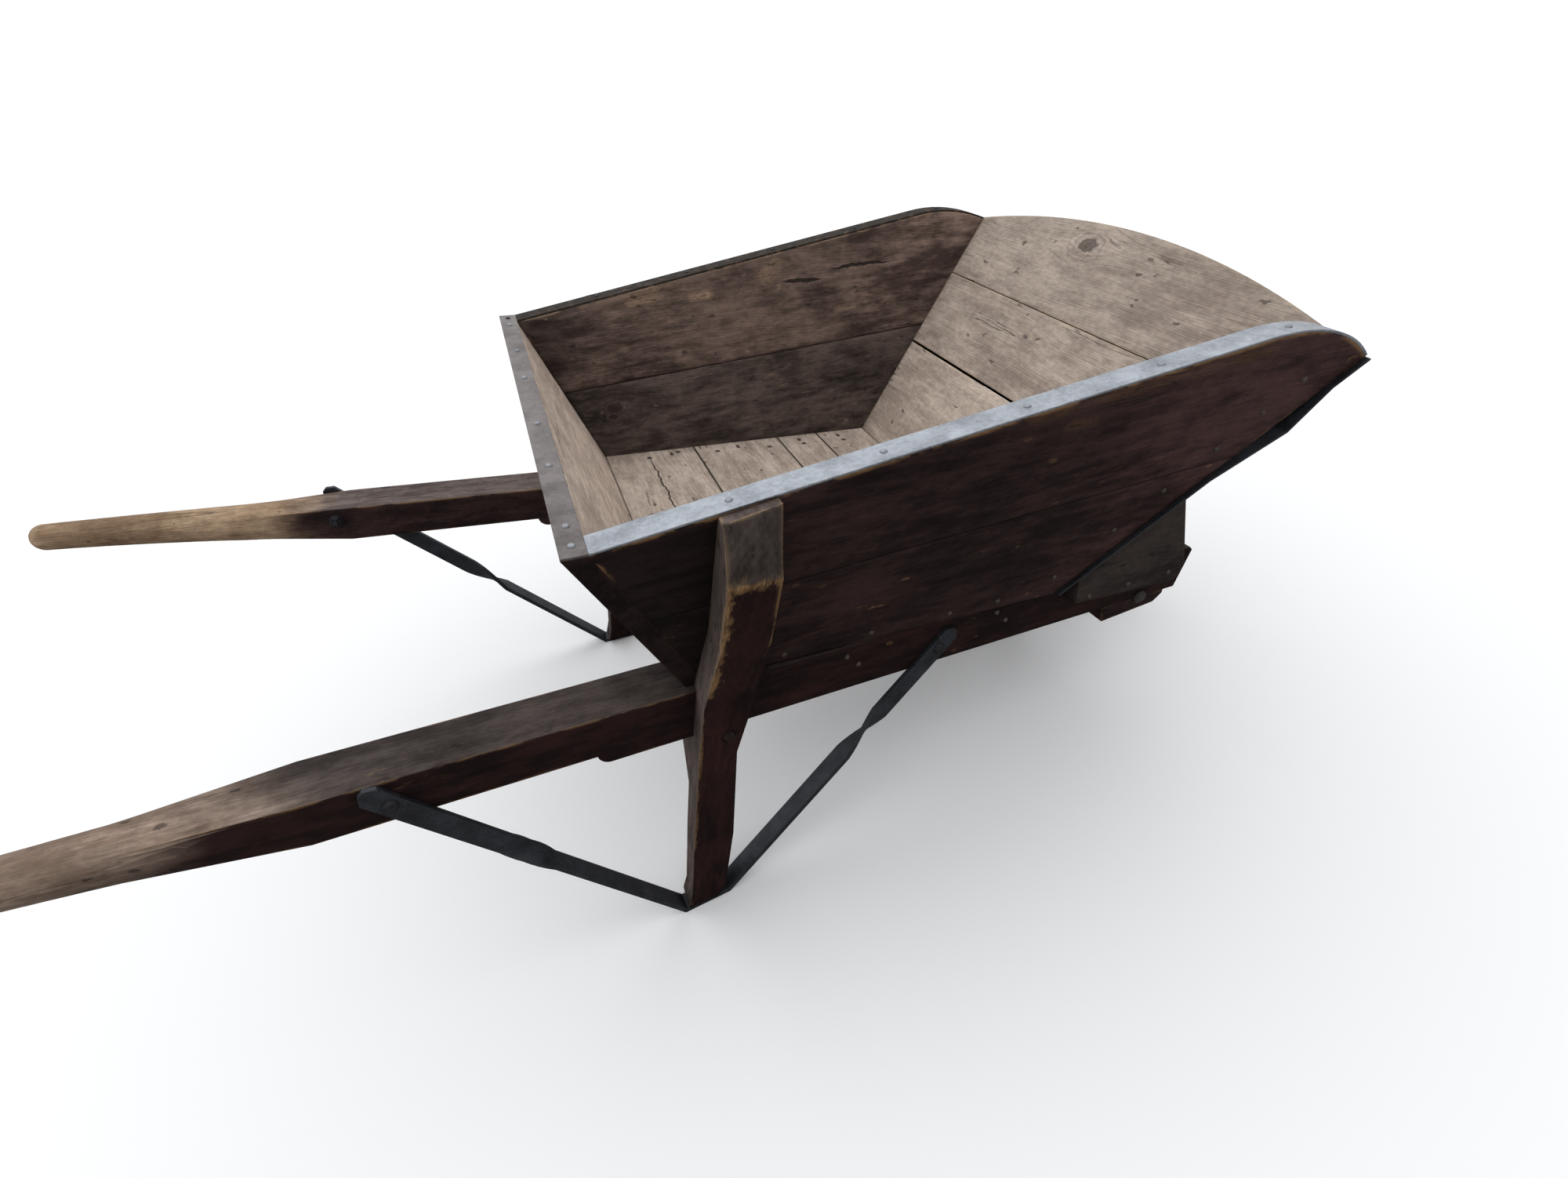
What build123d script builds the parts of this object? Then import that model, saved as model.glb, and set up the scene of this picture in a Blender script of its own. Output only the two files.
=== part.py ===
from build123d import *
import os
from math import acos, atan2, cos, hypot, radians, sin, sqrt, tan

os.makedirs("parts", exist_ok=True)

# All sizes are millimetres and degrees. The tray, the beams and the legs are laid out in a bed frame:
# x forward from the tailboard's foot, y to the left, z square to the tray's floor, z = 0 on the floor's top.

# Tray floor
floor_length = 421
floor_half_width = 250
floor_thickness = 29
floor_joints = (136.5, 273, 339)
board_gap = 1.2

# Tray sides
side_taper = 2.58
side_flare = 18.0
side_thickness = 28
side_overrun = 65
side_front_lean = 39.6
seam_height = 97
seam_rise = 5.43
rim_rise = 10.1
rim_arc = 167
rim_drop = 30

# Tailboard
tail_height = 191
tail_lean = 25.7
tail_thickness = 20

# Front boards; their joints are shares of the slope
front_height = 297
front_lean = 38.1
front_thickness = 28
front_joint_lower = 0.421
front_joint_upper = 0.743
front_gap_lower = 3.6
arch_rise = 41

# Metal rim strips, and the straps on the front edges of the sides, bowed off the wood below the tip;
# the bow and the nails lie at shares of the edge, down from the tip
strip_thickness = 2.5
edge_strap_thickness = 3
edge_strap_overhang = 6
edge_bow = 20
edge_bow_start = 0.104
edge_bow_peak = 0.242
edge_bow_end = 0.469
edge_nails = (0.036, 0.534, 0.682, 0.95)

# Beams with their handles
beam_spacing = 561
beam_taper = 5.26
beam_width = 60
beam_depth = 61
beam_nose = 709
nose_cut = 13
step_start = -93
step_length = 14
handle_depth = 49
grip_start = -365
grip_round = -505
grip_round_radius = 25.2
grip_round_height = -49.3
grip_middle = -610
grip_middle_radius = 21.2
grip_middle_height = -44.6
grip_tip = -757
grip_tip_radius = 17.6
grip_tip_height = -41.4
nose_bevel = 5

# Cross rails between the beams
rail_positions = (181, 388)
rail_width = 50
rail_depth = 44
rail_tenon = 18
rail_tenon_width = 30
rail_tenon_depth = 24

# Legs; the stations of their side outline are (share of the drop to the foot, rear x, front x)
leg_set = 40
leg_thickness = 40
leg_top_thickness = 11
leg_bevel_height = 152
leg_top_gap = 1
leg_shoulder = 16
leg_taper_share = 0.475
leg_waist_inner = 268
foot_outer = 295
foot_thickness = 30
foot_drop = 358
foot_heel = -28
foot_toe = 11
foot_round = 6
leg_top_rear = 12.5
leg_top_front = 63.5
leg_shoulder_front = 173
leg_knee_height = 65
leg_knee_rear = 12
leg_knee_front = 61.5
leg_stations = ((0.081, 0.5, 55), (0.285, -7, 35), (0.665, -17, 30), (0.944, -23, 19))

# Brace straps
strap_width = 23
strap_thickness = 6
strap_rear_x = -317
strap_rear_z = -33
strap_rear_x_left = -402
strap_rear_z_left = -28
strap_front_x = 323
strap_front_z = -47
strap_slack_rear = 6
strap_slack_front = 13
strap_wear = 0.25
twist_length = 66
twist_rear = 245
twist_rear_left = 235
twist_front = 264
strap_clip = 8

# Cheeks on the beams
cheek_thickness = 21
cheek_foot = 491
cheek_foot_z = -47
cheek_toe = 661
cheek_toe_z = -59
cheek_nose = 672
cheek_nose_z = -36
cheek_top_z = 156
cheek_seat_z = 26
cheek_round = 10

# Wheel, axle and bearing blocks
wheel_radius = 180
wheel_gap = 14
tyre_width = 46
tyre_thickness = 7
spoke_count = 8
spoke_radius = 7
spoke_root = 22
hub_length = 116
hub_radius = 34
hub_waist_radius = 24
axle_radius = 10
axle_clearance = 0.05
axle_end = 3
collar_radius = 20
collar_length = 14
collar_play = 1
pin_radius = 3
hub_pin_radius = 4
block_rear = 66
block_front = 44
block_depth = 24
block_depth_front = 17
block_nose = 13

# Fasteners
bolt_radius = 4
bolt_clearance = 0.25
bolt_head_radius = 8
bolt_head_height = 4
nut_size = 13
nut_height = 6.5
washer_radius = 9
washer_thickness = 1.6
leg_bolt_x = 24
leg_bolt_z = -76
strap_bolt_inset = 30
block_bolt_rear = 42
block_bolt_front = 25
nail_head_radius = 3.8
nail_head_height = 1.8
nail_shank = 3
strip_nail_length = 24
tail_strip_nail_length = 14
long_nail_length = 50
strip_nail_spacing = 136.5
strip_nail_start = 26
strip_nail_bend = 0.21
tail_strip_nails = (72, 177, 297, 330)
floor_nail_spots = ((63, 224), (109, 232), (168, 216), (250, 207), (306, 202), (372, 196))
side_nail_x = (100, 205, 306, 372)
tail_nail_z = (15, 68, 118, 158)
front_nail_shares = (0.05, 0.27, 0.44, 0.61, 0.75, 0.87)
cheek_nail_x = (510, 575, 645)
cheek_nail_drop = 12
rail_nail_offsets = ((-3, 8), (13, -8))

# Slopes of the tray's walls
taper = tan(radians(side_taper))
flare = tan(radians(side_flare))
seam_slope = tan(radians(seam_rise))
rim_slope = tan(radians(rim_rise))
tail_slope = tan(radians(tail_lean))
front_slope = tan(radians(front_lean))
front_cos = cos(radians(front_lean))
front_sin = sin(radians(front_lean))
edge_slope = tan(radians(side_front_lean))
edge_cos = cos(radians(side_front_lean))
edge_sin = sin(radians(side_front_lean))
beam_slope = tan(radians(beam_taper))
beam_cos = cos(radians(beam_taper))
stretch = sqrt(1 + taper**2 + flare**2)

# Levels: the beams' top, which carries the floor, and their underside, where the axle lies
deck = -floor_thickness
underside = deck - beam_depth
handle_bottom = deck - handle_depth
axle_x = floor_length + (front_thickness + wheel_radius + wheel_gap + underside * front_sin) / front_cos

# The barrow stands on its feet and its wheel, so the bed leans nose down by the stance
foot_x = (foot_heel + foot_toe) / 2
foot_reach = axle_x - foot_x
foot_fall = foot_drop + underside
stance = acos((wheel_radius - strap_thickness) / hypot(foot_reach, foot_fall)) - atan2(foot_reach, foot_fall)
lean_cos = cos(stance)
lean_sin = sin(stance)
bed_height = lean_sin * foot_x + lean_cos * foot_drop + strap_thickness
tip_x = grip_tip + grip_tip_radius
tip_back = tip_x - beam_width / 2 * beam_slope * beam_cos
rear_end = lean_cos * tip_back + lean_sin * grip_tip_height - grip_tip_radius
front_end = lean_cos * axle_x + lean_sin * underside + wheel_radius
bed_shift = -(rear_end + front_end) / 2
bed = Plane(
    origin=(bed_shift, 0, bed_height),
    x_dir=(lean_cos, 0, -lean_sin),
    z_dir=(lean_sin, 0, lean_cos),
)


def bed_point(x, y, z):
    return bed.from_local_coords(Vector(x, y, z))


def bed_direction(x, y, z):
    return bed_point(x, y, z) - bed.origin


def bed_plane(origin, x_dir, z_dir):
    return Plane(
        origin=bed_point(*origin),
        x_dir=bed_direction(*x_dir),
        z_dir=bed_direction(*z_dir),
    )


def half_width(x, z):
    """Distance from the centre plane to the inner face of a tray side."""
    return floor_half_width - taper * x + flare * z


def rim(x):
    """Height of the straight part of the tray's rim."""
    return tail_height + rim_slope * (x + tail_slope * tail_height)


def front_edge(z):
    """Bed x of the front edge of a tray side."""
    return floor_length + side_overrun + edge_slope * z


def edge_point(share, out):
    """Point in the side view: a share down the front edge from its tip, and out from it."""
    down = share * edge_length
    return (rim_tip[0] - edge_sin * down + edge_cos * out, rim_tip[1] - edge_cos * down - edge_sin * out)


def along(x):
    """Distance along a beam for a distance along the bed."""
    return x / beam_cos


def beam_face(x):
    """Distance from the centre plane to a beam's outer face."""
    return beam_spacing / 2 - beam_slope * x


def ground(x, height):
    """Bed z of a point that lies at a given height over the ground."""
    return (height - bed_height + lean_sin * x) / lean_cos


# Working planes: the side view seen from the right, the tray walls and the right beam's outer face
profile = bed_plane((0, 0, 0), (1, 0, 0), (0, -1, 0))
side_inner = bed_plane((0, -floor_half_width, 0), (1, taper, 0), (taper, -1, -flare))
side_outer = side_inner.offset(side_thickness)
side_inner_left = bed_plane((0, floor_half_width, 0), (1, -taper, 0), (taper, 1, -flare))
side_outer_left = side_inner_left.offset(side_thickness)
front_inner = bed_plane((floor_length, 0, 0), (0, 1, 0), (front_cos, 0, -front_sin))
front_outer = front_inner.offset(front_thickness)
deck_plane = bed_plane((0, 0, deck), (1, 0, 0), (0, 0, 1))
seam = bed_plane((0, 0, seam_height), (1, 0, seam_slope), (-seam_slope, 0, 1))
beam_right = bed_plane((0, -beam_spacing / 2, 0), (1, beam_slope, 0), (beam_slope, -1, 0))
reach = floor_half_width * 2

# Rim of a side: straight, then bent down to the tip, where the front edge starts
slope_top = front_height / front_cos
rim_start = (-tail_slope * tail_height, tail_height)
rim_tip = (front_edge(front_height - rim_drop), front_height - rim_drop)
rim_bend = (rim_tip[0] - rim_arc, rim(rim_tip[0] - rim_arc))
edge_length = (rim_tip[1] - deck) / edge_cos


def beam_spot(x, z, depth, x_dir=(1, 0, 0), z_dir=(0, 0, 1)):
    """Plane on the right beam; depth counts outward from its outer face, directions are the beam's own."""
    origin = beam_right.from_local_coords(Vector(along(x), z, depth))
    return Plane(
        origin=origin,
        x_dir=beam_right.from_local_coords(Vector(*x_dir)) - beam_right.origin,
        z_dir=beam_right.from_local_coords(Vector(*z_dir)) - beam_right.origin,
    )


def nail_row(spots, length, flush=False):
    """Hand-made nails with a faceted head and a square shank, one on each plane; flush heads are sunk."""
    with BuildPart() as nails:
        for spot in spots:
            inward = Plane(origin=spot.origin, x_dir=spot.x_dir, z_dir=-spot.z_dir)
            with BuildSketch(inward if flush else spot):
                RegularPolygon(nail_head_radius, 8)
            extrude(amount=nail_head_height, taper=40)
            with BuildSketch(inward):
                Rectangle(nail_shank, nail_shank)
            extrude(amount=length)
    return nails.part


def both_sides(part):
    """The right-hand fasteners and their mirror images."""
    with BuildPart() as pair:
        add(part)
        mirror(part, about=Plane.XZ)
    return pair.part


def rim_nail(point, direction):
    """Plane on top of the right strip, at the middle of its width."""
    x = point.X - strip_thickness * direction.Y
    z = point.Y + strip_thickness * direction.X
    y = -(half_width(x, z) + side_thickness * stretch / 2)
    return bed_plane((x, y, z), (direction.X, 0, direction.Y), (-direction.Y, 0, direction.X))


def edge_nail(share, out):
    """Plane on the right side's front edge strap, at the middle of the side's thickness."""
    x, z = edge_point(share, out)
    y = -(half_width(x, z) + side_thickness * stretch / 2)
    return bed_plane((x, y, z), (0, 1, 0), (edge_cos, 0, -edge_sin))


# Nails. They are laid out first, because the boards and strips are pierced by them.
rim_line = Line(rim_start, rim_bend)
rim_curve = TangentArc(rim_bend, rim_tip, tangent=(1, rim_slope))
rim_spots = [rim_nail(rim_curve @ strip_nail_bend, rim_curve % strip_nail_bend)]
for i in range(4):
    share = (strip_nail_start + strip_nail_spacing * i - rim_start[0]) / (rim_bend[0] - rim_start[0])
    rim_spots.append(rim_nail(rim_line @ share, rim_line % share))
tail_run = tail_thickness / cos(radians(tail_lean))
tail_top = (rim_start[0] - tail_run / 2, tail_height + strip_thickness)
tail_top_spots = [bed_plane((tail_top[0], -y, tail_top[1]), (1, 0, 0), (0, 0, 1)) for y in tail_strip_nails]
bow_spots = [edge_nail(edge_bow_peak, edge_strap_thickness + edge_bow)]
edge_spots = [edge_nail(share, edge_strap_thickness) for share in edge_nails]
with BuildPart() as strip_nails:
    add(both_sides(nail_row(rim_spots + edge_spots, strip_nail_length)))
    add(both_sides(nail_row(bow_spots, strip_nail_length + edge_bow)))
    add(both_sides(nail_row(tail_top_spots, tail_strip_nail_length)))

floor_spots = [bed_plane((x, -y, 0), (1, 0, 0), (0, 0, 1)) for x, y in floor_nail_spots]
with BuildPart() as floor_nails:
    add(both_sides(nail_row(floor_spots, long_nail_length, flush=True)))

# Through the feet of the sides into the floor boards
side_spots = []
for x in side_nail_x:
    y = -(half_width(x, deck / 2) + side_thickness * stretch)
    side_spots.append(bed_plane((x, y, deck / 2), (1, taper, 0), (taper, -1, -flare)))
with BuildPart() as side_nails:
    add(both_sides(nail_row(side_spots, long_nail_length)))

# Through the tailboard into the ends of the sides, and through the sides into the ends of the front boards
tail_spots = []
for z in tail_nail_z:
    x = -tail_slope * z - tail_run
    y = -(half_width(x, z) + side_thickness * stretch / 2)
    tail_spots.append(bed_plane((x, y, z), (0, -1, 0), (-1, 0, -tail_slope)))
with BuildPart() as tail_nails:
    add(both_sides(nail_row(tail_spots, long_nail_length)))
front_spots = []
for share in front_nail_shares:
    x = floor_length + front_sin * slope_top * share + front_cos * front_thickness / 2
    z = front_cos * slope_top * share - front_sin * front_thickness / 2
    y = -(half_width(x, z) + side_thickness * stretch)
    front_spots.append(bed_plane((x, y, z), (1, taper, 0), (taper, -1, -flare)))
with BuildPart() as front_nails:
    add(both_sides(nail_row(front_spots, long_nail_length)))

# Through the cheeks into the beams, and through the beams into the cross rails
cheek_spots = [beam_spot(x, deck - cheek_nail_drop, cheek_thickness) for x in cheek_nail_x]
with BuildPart() as cheek_nails:
    add(both_sides(nail_row(cheek_spots, long_nail_length)))
rail_spots = []
for position in rail_positions:
    for offset_x, offset_z in rail_nail_offsets:
        rail_spots.append(beam_spot(position + offset_x, deck - rail_depth / 2 + offset_z, 0))
with BuildPart() as rail_nails:
    add(both_sides(nail_row(rail_spots, beam_width + rail_tenon)))


def pierce(*rows):
    """Cut other pieces, such as driven nails, out of the piece being built."""
    for row in rows:
        add(row.part, mode=Mode.SUBTRACT)


def side_wall():
    """Right side of the tray in one piece, from the tailboard past the front boards."""
    with BuildPart() as wall:
        with BuildSketch(profile):
            with BuildLine():
                Polyline(
                    rim_start,
                    (-tail_slope * deck, deck),
                    (front_edge(deck), deck),
                    rim_tip,
                )
                Line(rim_start, rim_bend)
                TangentArc(rim_bend, rim_tip, tangent=(1, rim_slope))
            make_face()
        extrude(amount=reach)
        split(bisect_by=side_inner, keep=Keep.TOP)
        split(bisect_by=side_outer, keep=Keep.BOTTOM)
    return wall.part


def cross_board(start, end):
    """One floor board from one side of the tray to the other."""
    with BuildPart() as board:
        with BuildSketch(profile):
            with BuildLine():
                Polyline((start[0], 0), (start[1], deck), (end[1], deck), (end[0], 0), close=True)
            make_face()
        extrude(amount=reach, both=True)
        split(bisect_by=side_inner, keep=Keep.BOTTOM)
        split(bisect_by=side_inner_left, keep=Keep.BOTTOM)
    return board.part


def front_board(outline):
    """One front board: an outline in its own slope, cut to the inner faces of the sides."""
    with BuildPart() as board:
        with BuildSketch(front_inner):
            add(outline)
        extrude(amount=front_thickness)
        split(bisect_by=side_inner, keep=Keep.BOTTOM)
        split(bisect_by=side_inner_left, keep=Keep.BOTTOM)
        split(bisect_by=deck_plane, keep=Keep.TOP)
    return board.part


def slope_band(low, high):
    """Straight board outline between two heights up the front slope."""
    with BuildSketch() as band:
        with Locations((0, (low + high) / 2)):
            Rectangle(2 * reach, high - low)
    return band.sketch


# Side walls, each of two boards with an open seam
with BuildPart() as side_right_lower:
    add(side_wall())
    split(bisect_by=seam.offset(-board_gap / 2), keep=Keep.BOTTOM)
    pierce(strip_nails, side_nails, tail_nails, front_nails)
with BuildPart() as side_right_upper:
    add(side_wall())
    split(bisect_by=seam.offset(board_gap / 2), keep=Keep.TOP)
    pierce(strip_nails, tail_nails, front_nails)
with BuildPart() as side_left_lower:
    mirror(side_right_lower.part, about=Plane.XZ)
with BuildPart() as side_left_upper:
    mirror(side_right_upper.part, about=Plane.XZ)

# Floor boards, the first and last cut to the slopes of tailboard and front
half_gap = board_gap / 2
joint_1, joint_2, joint_3 = floor_joints
with BuildPart() as floor_board_rear:
    add(cross_board((0, -tail_slope * deck), (joint_1 - half_gap, joint_1 - half_gap)))
    pierce(floor_nails, side_nails)
with BuildPart() as floor_board_middle:
    add(cross_board((joint_1 + half_gap, joint_1 + half_gap), (joint_2 - half_gap, joint_2 - half_gap)))
    pierce(floor_nails, side_nails)
with BuildPart() as floor_board_narrow:
    add(cross_board((joint_2 + half_gap, joint_2 + half_gap), (joint_3 - half_gap, joint_3 - half_gap)))
    pierce(floor_nails, side_nails)
with BuildPart() as floor_board_front:
    front_foot = floor_length + front_slope * deck
    add(cross_board((joint_3 + half_gap, joint_3 + half_gap), (floor_length, front_foot)))
    pierce(floor_nails, side_nails)

# Tailboard, nailed over the rear ends of the sides
with BuildPart() as tailboard:
    with BuildSketch(profile):
        with BuildLine():
            Polyline(
                rim_start,
                (rim_start[0] - tail_run, tail_height),
                (-tail_slope * deck - tail_run, deck),
                (-tail_slope * deck, deck),
                close=True,
            )
        make_face()
    extrude(amount=reach, both=True)
    split(bisect_by=side_outer, keep=Keep.BOTTOM)
    split(bisect_by=side_outer_left, keep=Keep.BOTTOM)
    pierce(strip_nails, tail_nails)

# Front boards, held between the sides; the top one is arched between the rims
arch_half = half_width(floor_length + front_slope * front_height, front_height)
joint_lower = front_joint_lower * slope_top
joint_upper = front_joint_upper * slope_top
with BuildSketch() as arched_outline:
    with BuildLine():
        Line((-arch_half, slope_top), (-reach, slope_top))
        Polyline(
            (-reach, slope_top),
            (-reach, joint_upper + half_gap),
            (reach, joint_upper + half_gap),
            (reach, slope_top),
            (arch_half, slope_top),
        )
        ThreePointArc((-arch_half, slope_top), (0, slope_top + arch_rise), (arch_half, slope_top))
    make_face()
with BuildPart() as front_board_lower:
    add(front_board(slope_band(-2 * floor_thickness, joint_lower - front_gap_lower / 2)))
    pierce(front_nails)
with BuildPart() as front_board_middle:
    add(front_board(slope_band(joint_lower + front_gap_lower / 2, joint_upper - half_gap)))
    pierce(front_nails)
with BuildPart() as front_board_upper:
    add(front_board(arched_outline.sketch))
    pierce(front_nails)

# Metal strips on the rims of the sides and on the tailboard
with BuildPart() as side_strip_right:
    with BuildSketch(profile):
        with BuildLine():
            Line(rim_start, rim_bend)
            TangentArc(rim_bend, rim_tip, tangent=(1, rim_slope))
            offset(amount=strip_thickness, side=Side.LEFT, kind=Kind.INTERSECTION)
        make_face()
    extrude(amount=reach)
    split(bisect_by=bed_plane((rim_start[0], 0, 0), (0, 1, 0), (1, 0, 0)), keep=Keep.TOP)
    split(bisect_by=side_inner, keep=Keep.TOP)
    split(bisect_by=side_outer, keep=Keep.BOTTOM)
    pierce(strip_nails)
with BuildPart() as side_strip_left:
    mirror(side_strip_right.part, about=Plane.XZ)
with BuildPart() as tail_strip:
    with BuildSketch(profile):
        with BuildLine():
            Polyline(
                rim_start,
                (rim_start[0], tail_height + strip_thickness),
                (rim_start[0] - tail_run, tail_height + strip_thickness),
                (rim_start[0] - tail_run, tail_height),
                close=True,
            )
        make_face()
    extrude(amount=reach, both=True)
    split(bisect_by=side_outer, keep=Keep.BOTTOM)
    split(bisect_by=side_outer_left, keep=Keep.BOTTOM)
    pierce(strip_nails)

# Straps on the front edges of the sides, their middle pulled off the wood with its nail
with BuildPart() as edge_strap_right:
    with BuildSketch(profile):
        with BuildLine():
            Polyline(
                rim_tip,
                edge_point(edge_bow_start, 0),
                edge_point(edge_bow_peak, edge_bow),
                edge_point(edge_bow_end, 0),
                edge_point(1, 0),
            )
            offset(amount=edge_strap_thickness, side=Side.LEFT, kind=Kind.INTERSECTION)
        make_face()
    extrude(amount=reach)
    split(bisect_by=side_inner, keep=Keep.TOP)
    split(bisect_by=side_outer.offset(edge_strap_overhang), keep=Keep.BOTTOM)
    split(bisect_by=deck_plane, keep=Keep.TOP)
    pierce(strip_nails)
with BuildPart() as edge_strap_left:
    mirror(edge_strap_right.part, about=Plane.XZ)

# The axle lies across the bed at the beams' underside
axle_centre = bed_point(axle_x, 0, underside)
axle_axis = Axis(axle_centre, (0, 1, 0))
wheel_plane = Plane(origin=axle_centre, x_dir=(1, 0, 0), z_dir=(0, -1, 0))


def arm(corner_x, end_x, end_z):
    """Brace arm in the right beam's face, as (foot corner, arm length, unit run, unit rise)."""
    corner = (along(corner_x), ground(corner_x, -strap_wear))
    run = along(end_x) - corner[0]
    rise = end_z - corner[1]
    length = hypot(run, rise)
    return corner, length, run / length, rise / length


def arm_point(limb, distance, inward):
    """Point on an arm, inward from the strap's outer side; rear arms lean to -x, front arms to +x."""
    corner, length, run, rise = limb
    turn = 1 if run > 0 else -1
    x = corner[0] + run * distance - turn * rise * inward
    z = corner[1] + rise * distance + turn * run * inward
    return x, z


rear_arm = arm(foot_heel - strap_slack_rear, strap_rear_x, strap_rear_z)
rear_arm_left = arm(foot_heel - strap_slack_rear, strap_rear_x_left, strap_rear_z_left)
front_arm = arm(foot_toe + strap_slack_front, strap_front_x, strap_front_z)


def strap_bolt_spot(limb, depth):
    """Plane of a strap's bolt, square to the beam's face."""
    x, z = arm_point(limb, limb[1] - strap_bolt_inset, strap_thickness / 2)
    return beam_spot(x * beam_cos, z, depth)


def beam(strap_limb):
    """Right beam, drilled for the bolts of one brace."""
    with BuildPart() as timber:
        with BuildSketch(beam_right):
            with BuildLine():
                Polyline(
                    (along(step_start), underside),
                    (along(beam_nose - nose_cut), underside),
                    (along(beam_nose), deck - nose_bevel),
                    (along(beam_nose - nose_bevel), deck),
                    (along(grip_start), deck),
                    (along(grip_start), handle_bottom),
                    (along(step_start - step_length), handle_bottom),
                )
                TangentArc(
                    (along(step_start), underside),
                    (along(step_start - step_length), handle_bottom),
                    tangent=(-1, 0),
                )
            make_face()
        extrude(amount=-beam_width)
        # The square handle runs into a round grip
        handle_middle = (deck + handle_bottom) / 2
        with BuildSketch(beam_spot(grip_start, handle_middle, -beam_width / 2, (0, 0, 1), (-1, 0, 0))):
            Rectangle(beam_width, handle_depth)
        with BuildSketch(beam_spot(grip_round, grip_round_height, -beam_width / 2, (0, 0, 1), (-1, 0, 0))):
            Circle(grip_round_radius)
        loft()
        with BuildSketch(beam_spot(grip_round, grip_round_height, -beam_width / 2, (0, 0, 1), (-1, 0, 0))):
            Circle(grip_round_radius)
        with BuildSketch(beam_spot(grip_middle, grip_middle_height, -beam_width / 2, (0, 0, 1), (-1, 0, 0))):
            Circle(grip_middle_radius)
        with BuildSketch(beam_spot(tip_x, grip_tip_height, -beam_width / 2, (0, 0, 1), (-1, 0, 0))):
            Circle(grip_tip_radius)
        loft()
        with Locations(beam_spot(tip_x, grip_tip_height, -beam_width / 2)):
            Sphere(grip_tip_radius)
        # Groove for the axle, mortices for the cross rails, holes for the bolts
        with BuildSketch(wheel_plane):
            Circle(axle_radius + axle_clearance)
        extrude(amount=reach, mode=Mode.SUBTRACT)
        for position in rail_positions:
            with BuildSketch(rail_end(position)):
                Rectangle(rail_tenon_width, rail_tenon_depth)
            extrude(amount=rail_tenon, mode=Mode.SUBTRACT)
        bolt_spots = [
            beam_spot(leg_bolt_x, leg_bolt_z, 0),
            strap_bolt_spot(strap_limb, 0),
            strap_bolt_spot(front_arm, 0),
        ]
        for spot in bolt_spots:
            with BuildSketch(spot):
                Circle(bolt_radius + bolt_clearance)
            extrude(amount=-beam_width, mode=Mode.SUBTRACT)
        for offset_x in (-block_bolt_rear, block_bolt_front):
            with BuildSketch(block_bolt_spot(offset_x, deck)):
                Circle(bolt_radius + bolt_clearance)
            extrude(amount=-beam_depth, mode=Mode.SUBTRACT)
        pierce(floor_nails, cheek_nails, rail_nails)
    return timber.part


def rail_end(position):
    """Plane on the right beam's inner face, looking into it, where a cross rail ends."""
    return beam_spot(position, deck - rail_depth / 2, -beam_width, (-1, 0, 0), (0, 0, 1))


def block_bolt_spot(offset_x, z):
    """Plane across the beam's width at a bearing block's bolt, facing up."""
    return beam_spot(axle_x + offset_x, z, -beam_width / 2, (1, 0, 0), (0, 1, 0))


with BuildPart() as beam_right_timber:
    add(beam(rear_arm))
with BuildPart() as beam_left_timber:
    mirror(beam(rear_arm_left), about=Plane.XZ)

# Cross rails with stub tenons in the beams' inner faces
beam_inner = beam_right.offset(-beam_width)


def cross_rail(position):
    """Rail under the floor between the inner faces of the beams."""
    rail_plane = bed_plane((position, 0, deck - rail_depth / 2), (1, 0, 0), (0, -1, 0))
    with BuildPart() as half:
        with BuildSketch(rail_plane):
            Rectangle(rail_width, rail_depth)
        extrude(amount=reach)
        split(bisect_by=beam_inner, keep=Keep.BOTTOM)
        with BuildSketch(rail_end(position)):
            Rectangle(rail_tenon_width, rail_tenon_depth)
        extrude(amount=rail_tenon)
        pierce(floor_nails, rail_nails)
    return half.part


with BuildPart() as cross_rail_rear:
    add(cross_rail(rail_positions[0]))
    mirror(about=Plane.XZ)
with BuildPart() as cross_rail_front:
    add(cross_rail(rail_positions[1]))
    mirror(about=Plane.XZ)

# Legs: a side outline crossed with a front outline, notched over the beam, set forward of their feet
leg_x = foot_x + leg_set
leg_view = bed_plane((leg_x, 0, 0), (taper, -1, 0), (-1, -taper, 0))
leg_view_scale = sqrt(1 + taper**2)


def leg_inner(z):
    """Inner face of a leg above the beam: it lies on the side wall."""
    return (half_width(leg_x, z) + side_thickness * stretch) / leg_view_scale


def leg_outer(z):
    """Outer face of a leg: parallel to the side wall above the beam, drawn in to the foot below it."""
    if z > deck:
        return leg_inner(z) + leg_thickness * stretch / leg_view_scale
    return leg_outer_deck + (foot_outer - leg_outer_deck) * (deck - z) / (foot_drop + deck)


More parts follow.
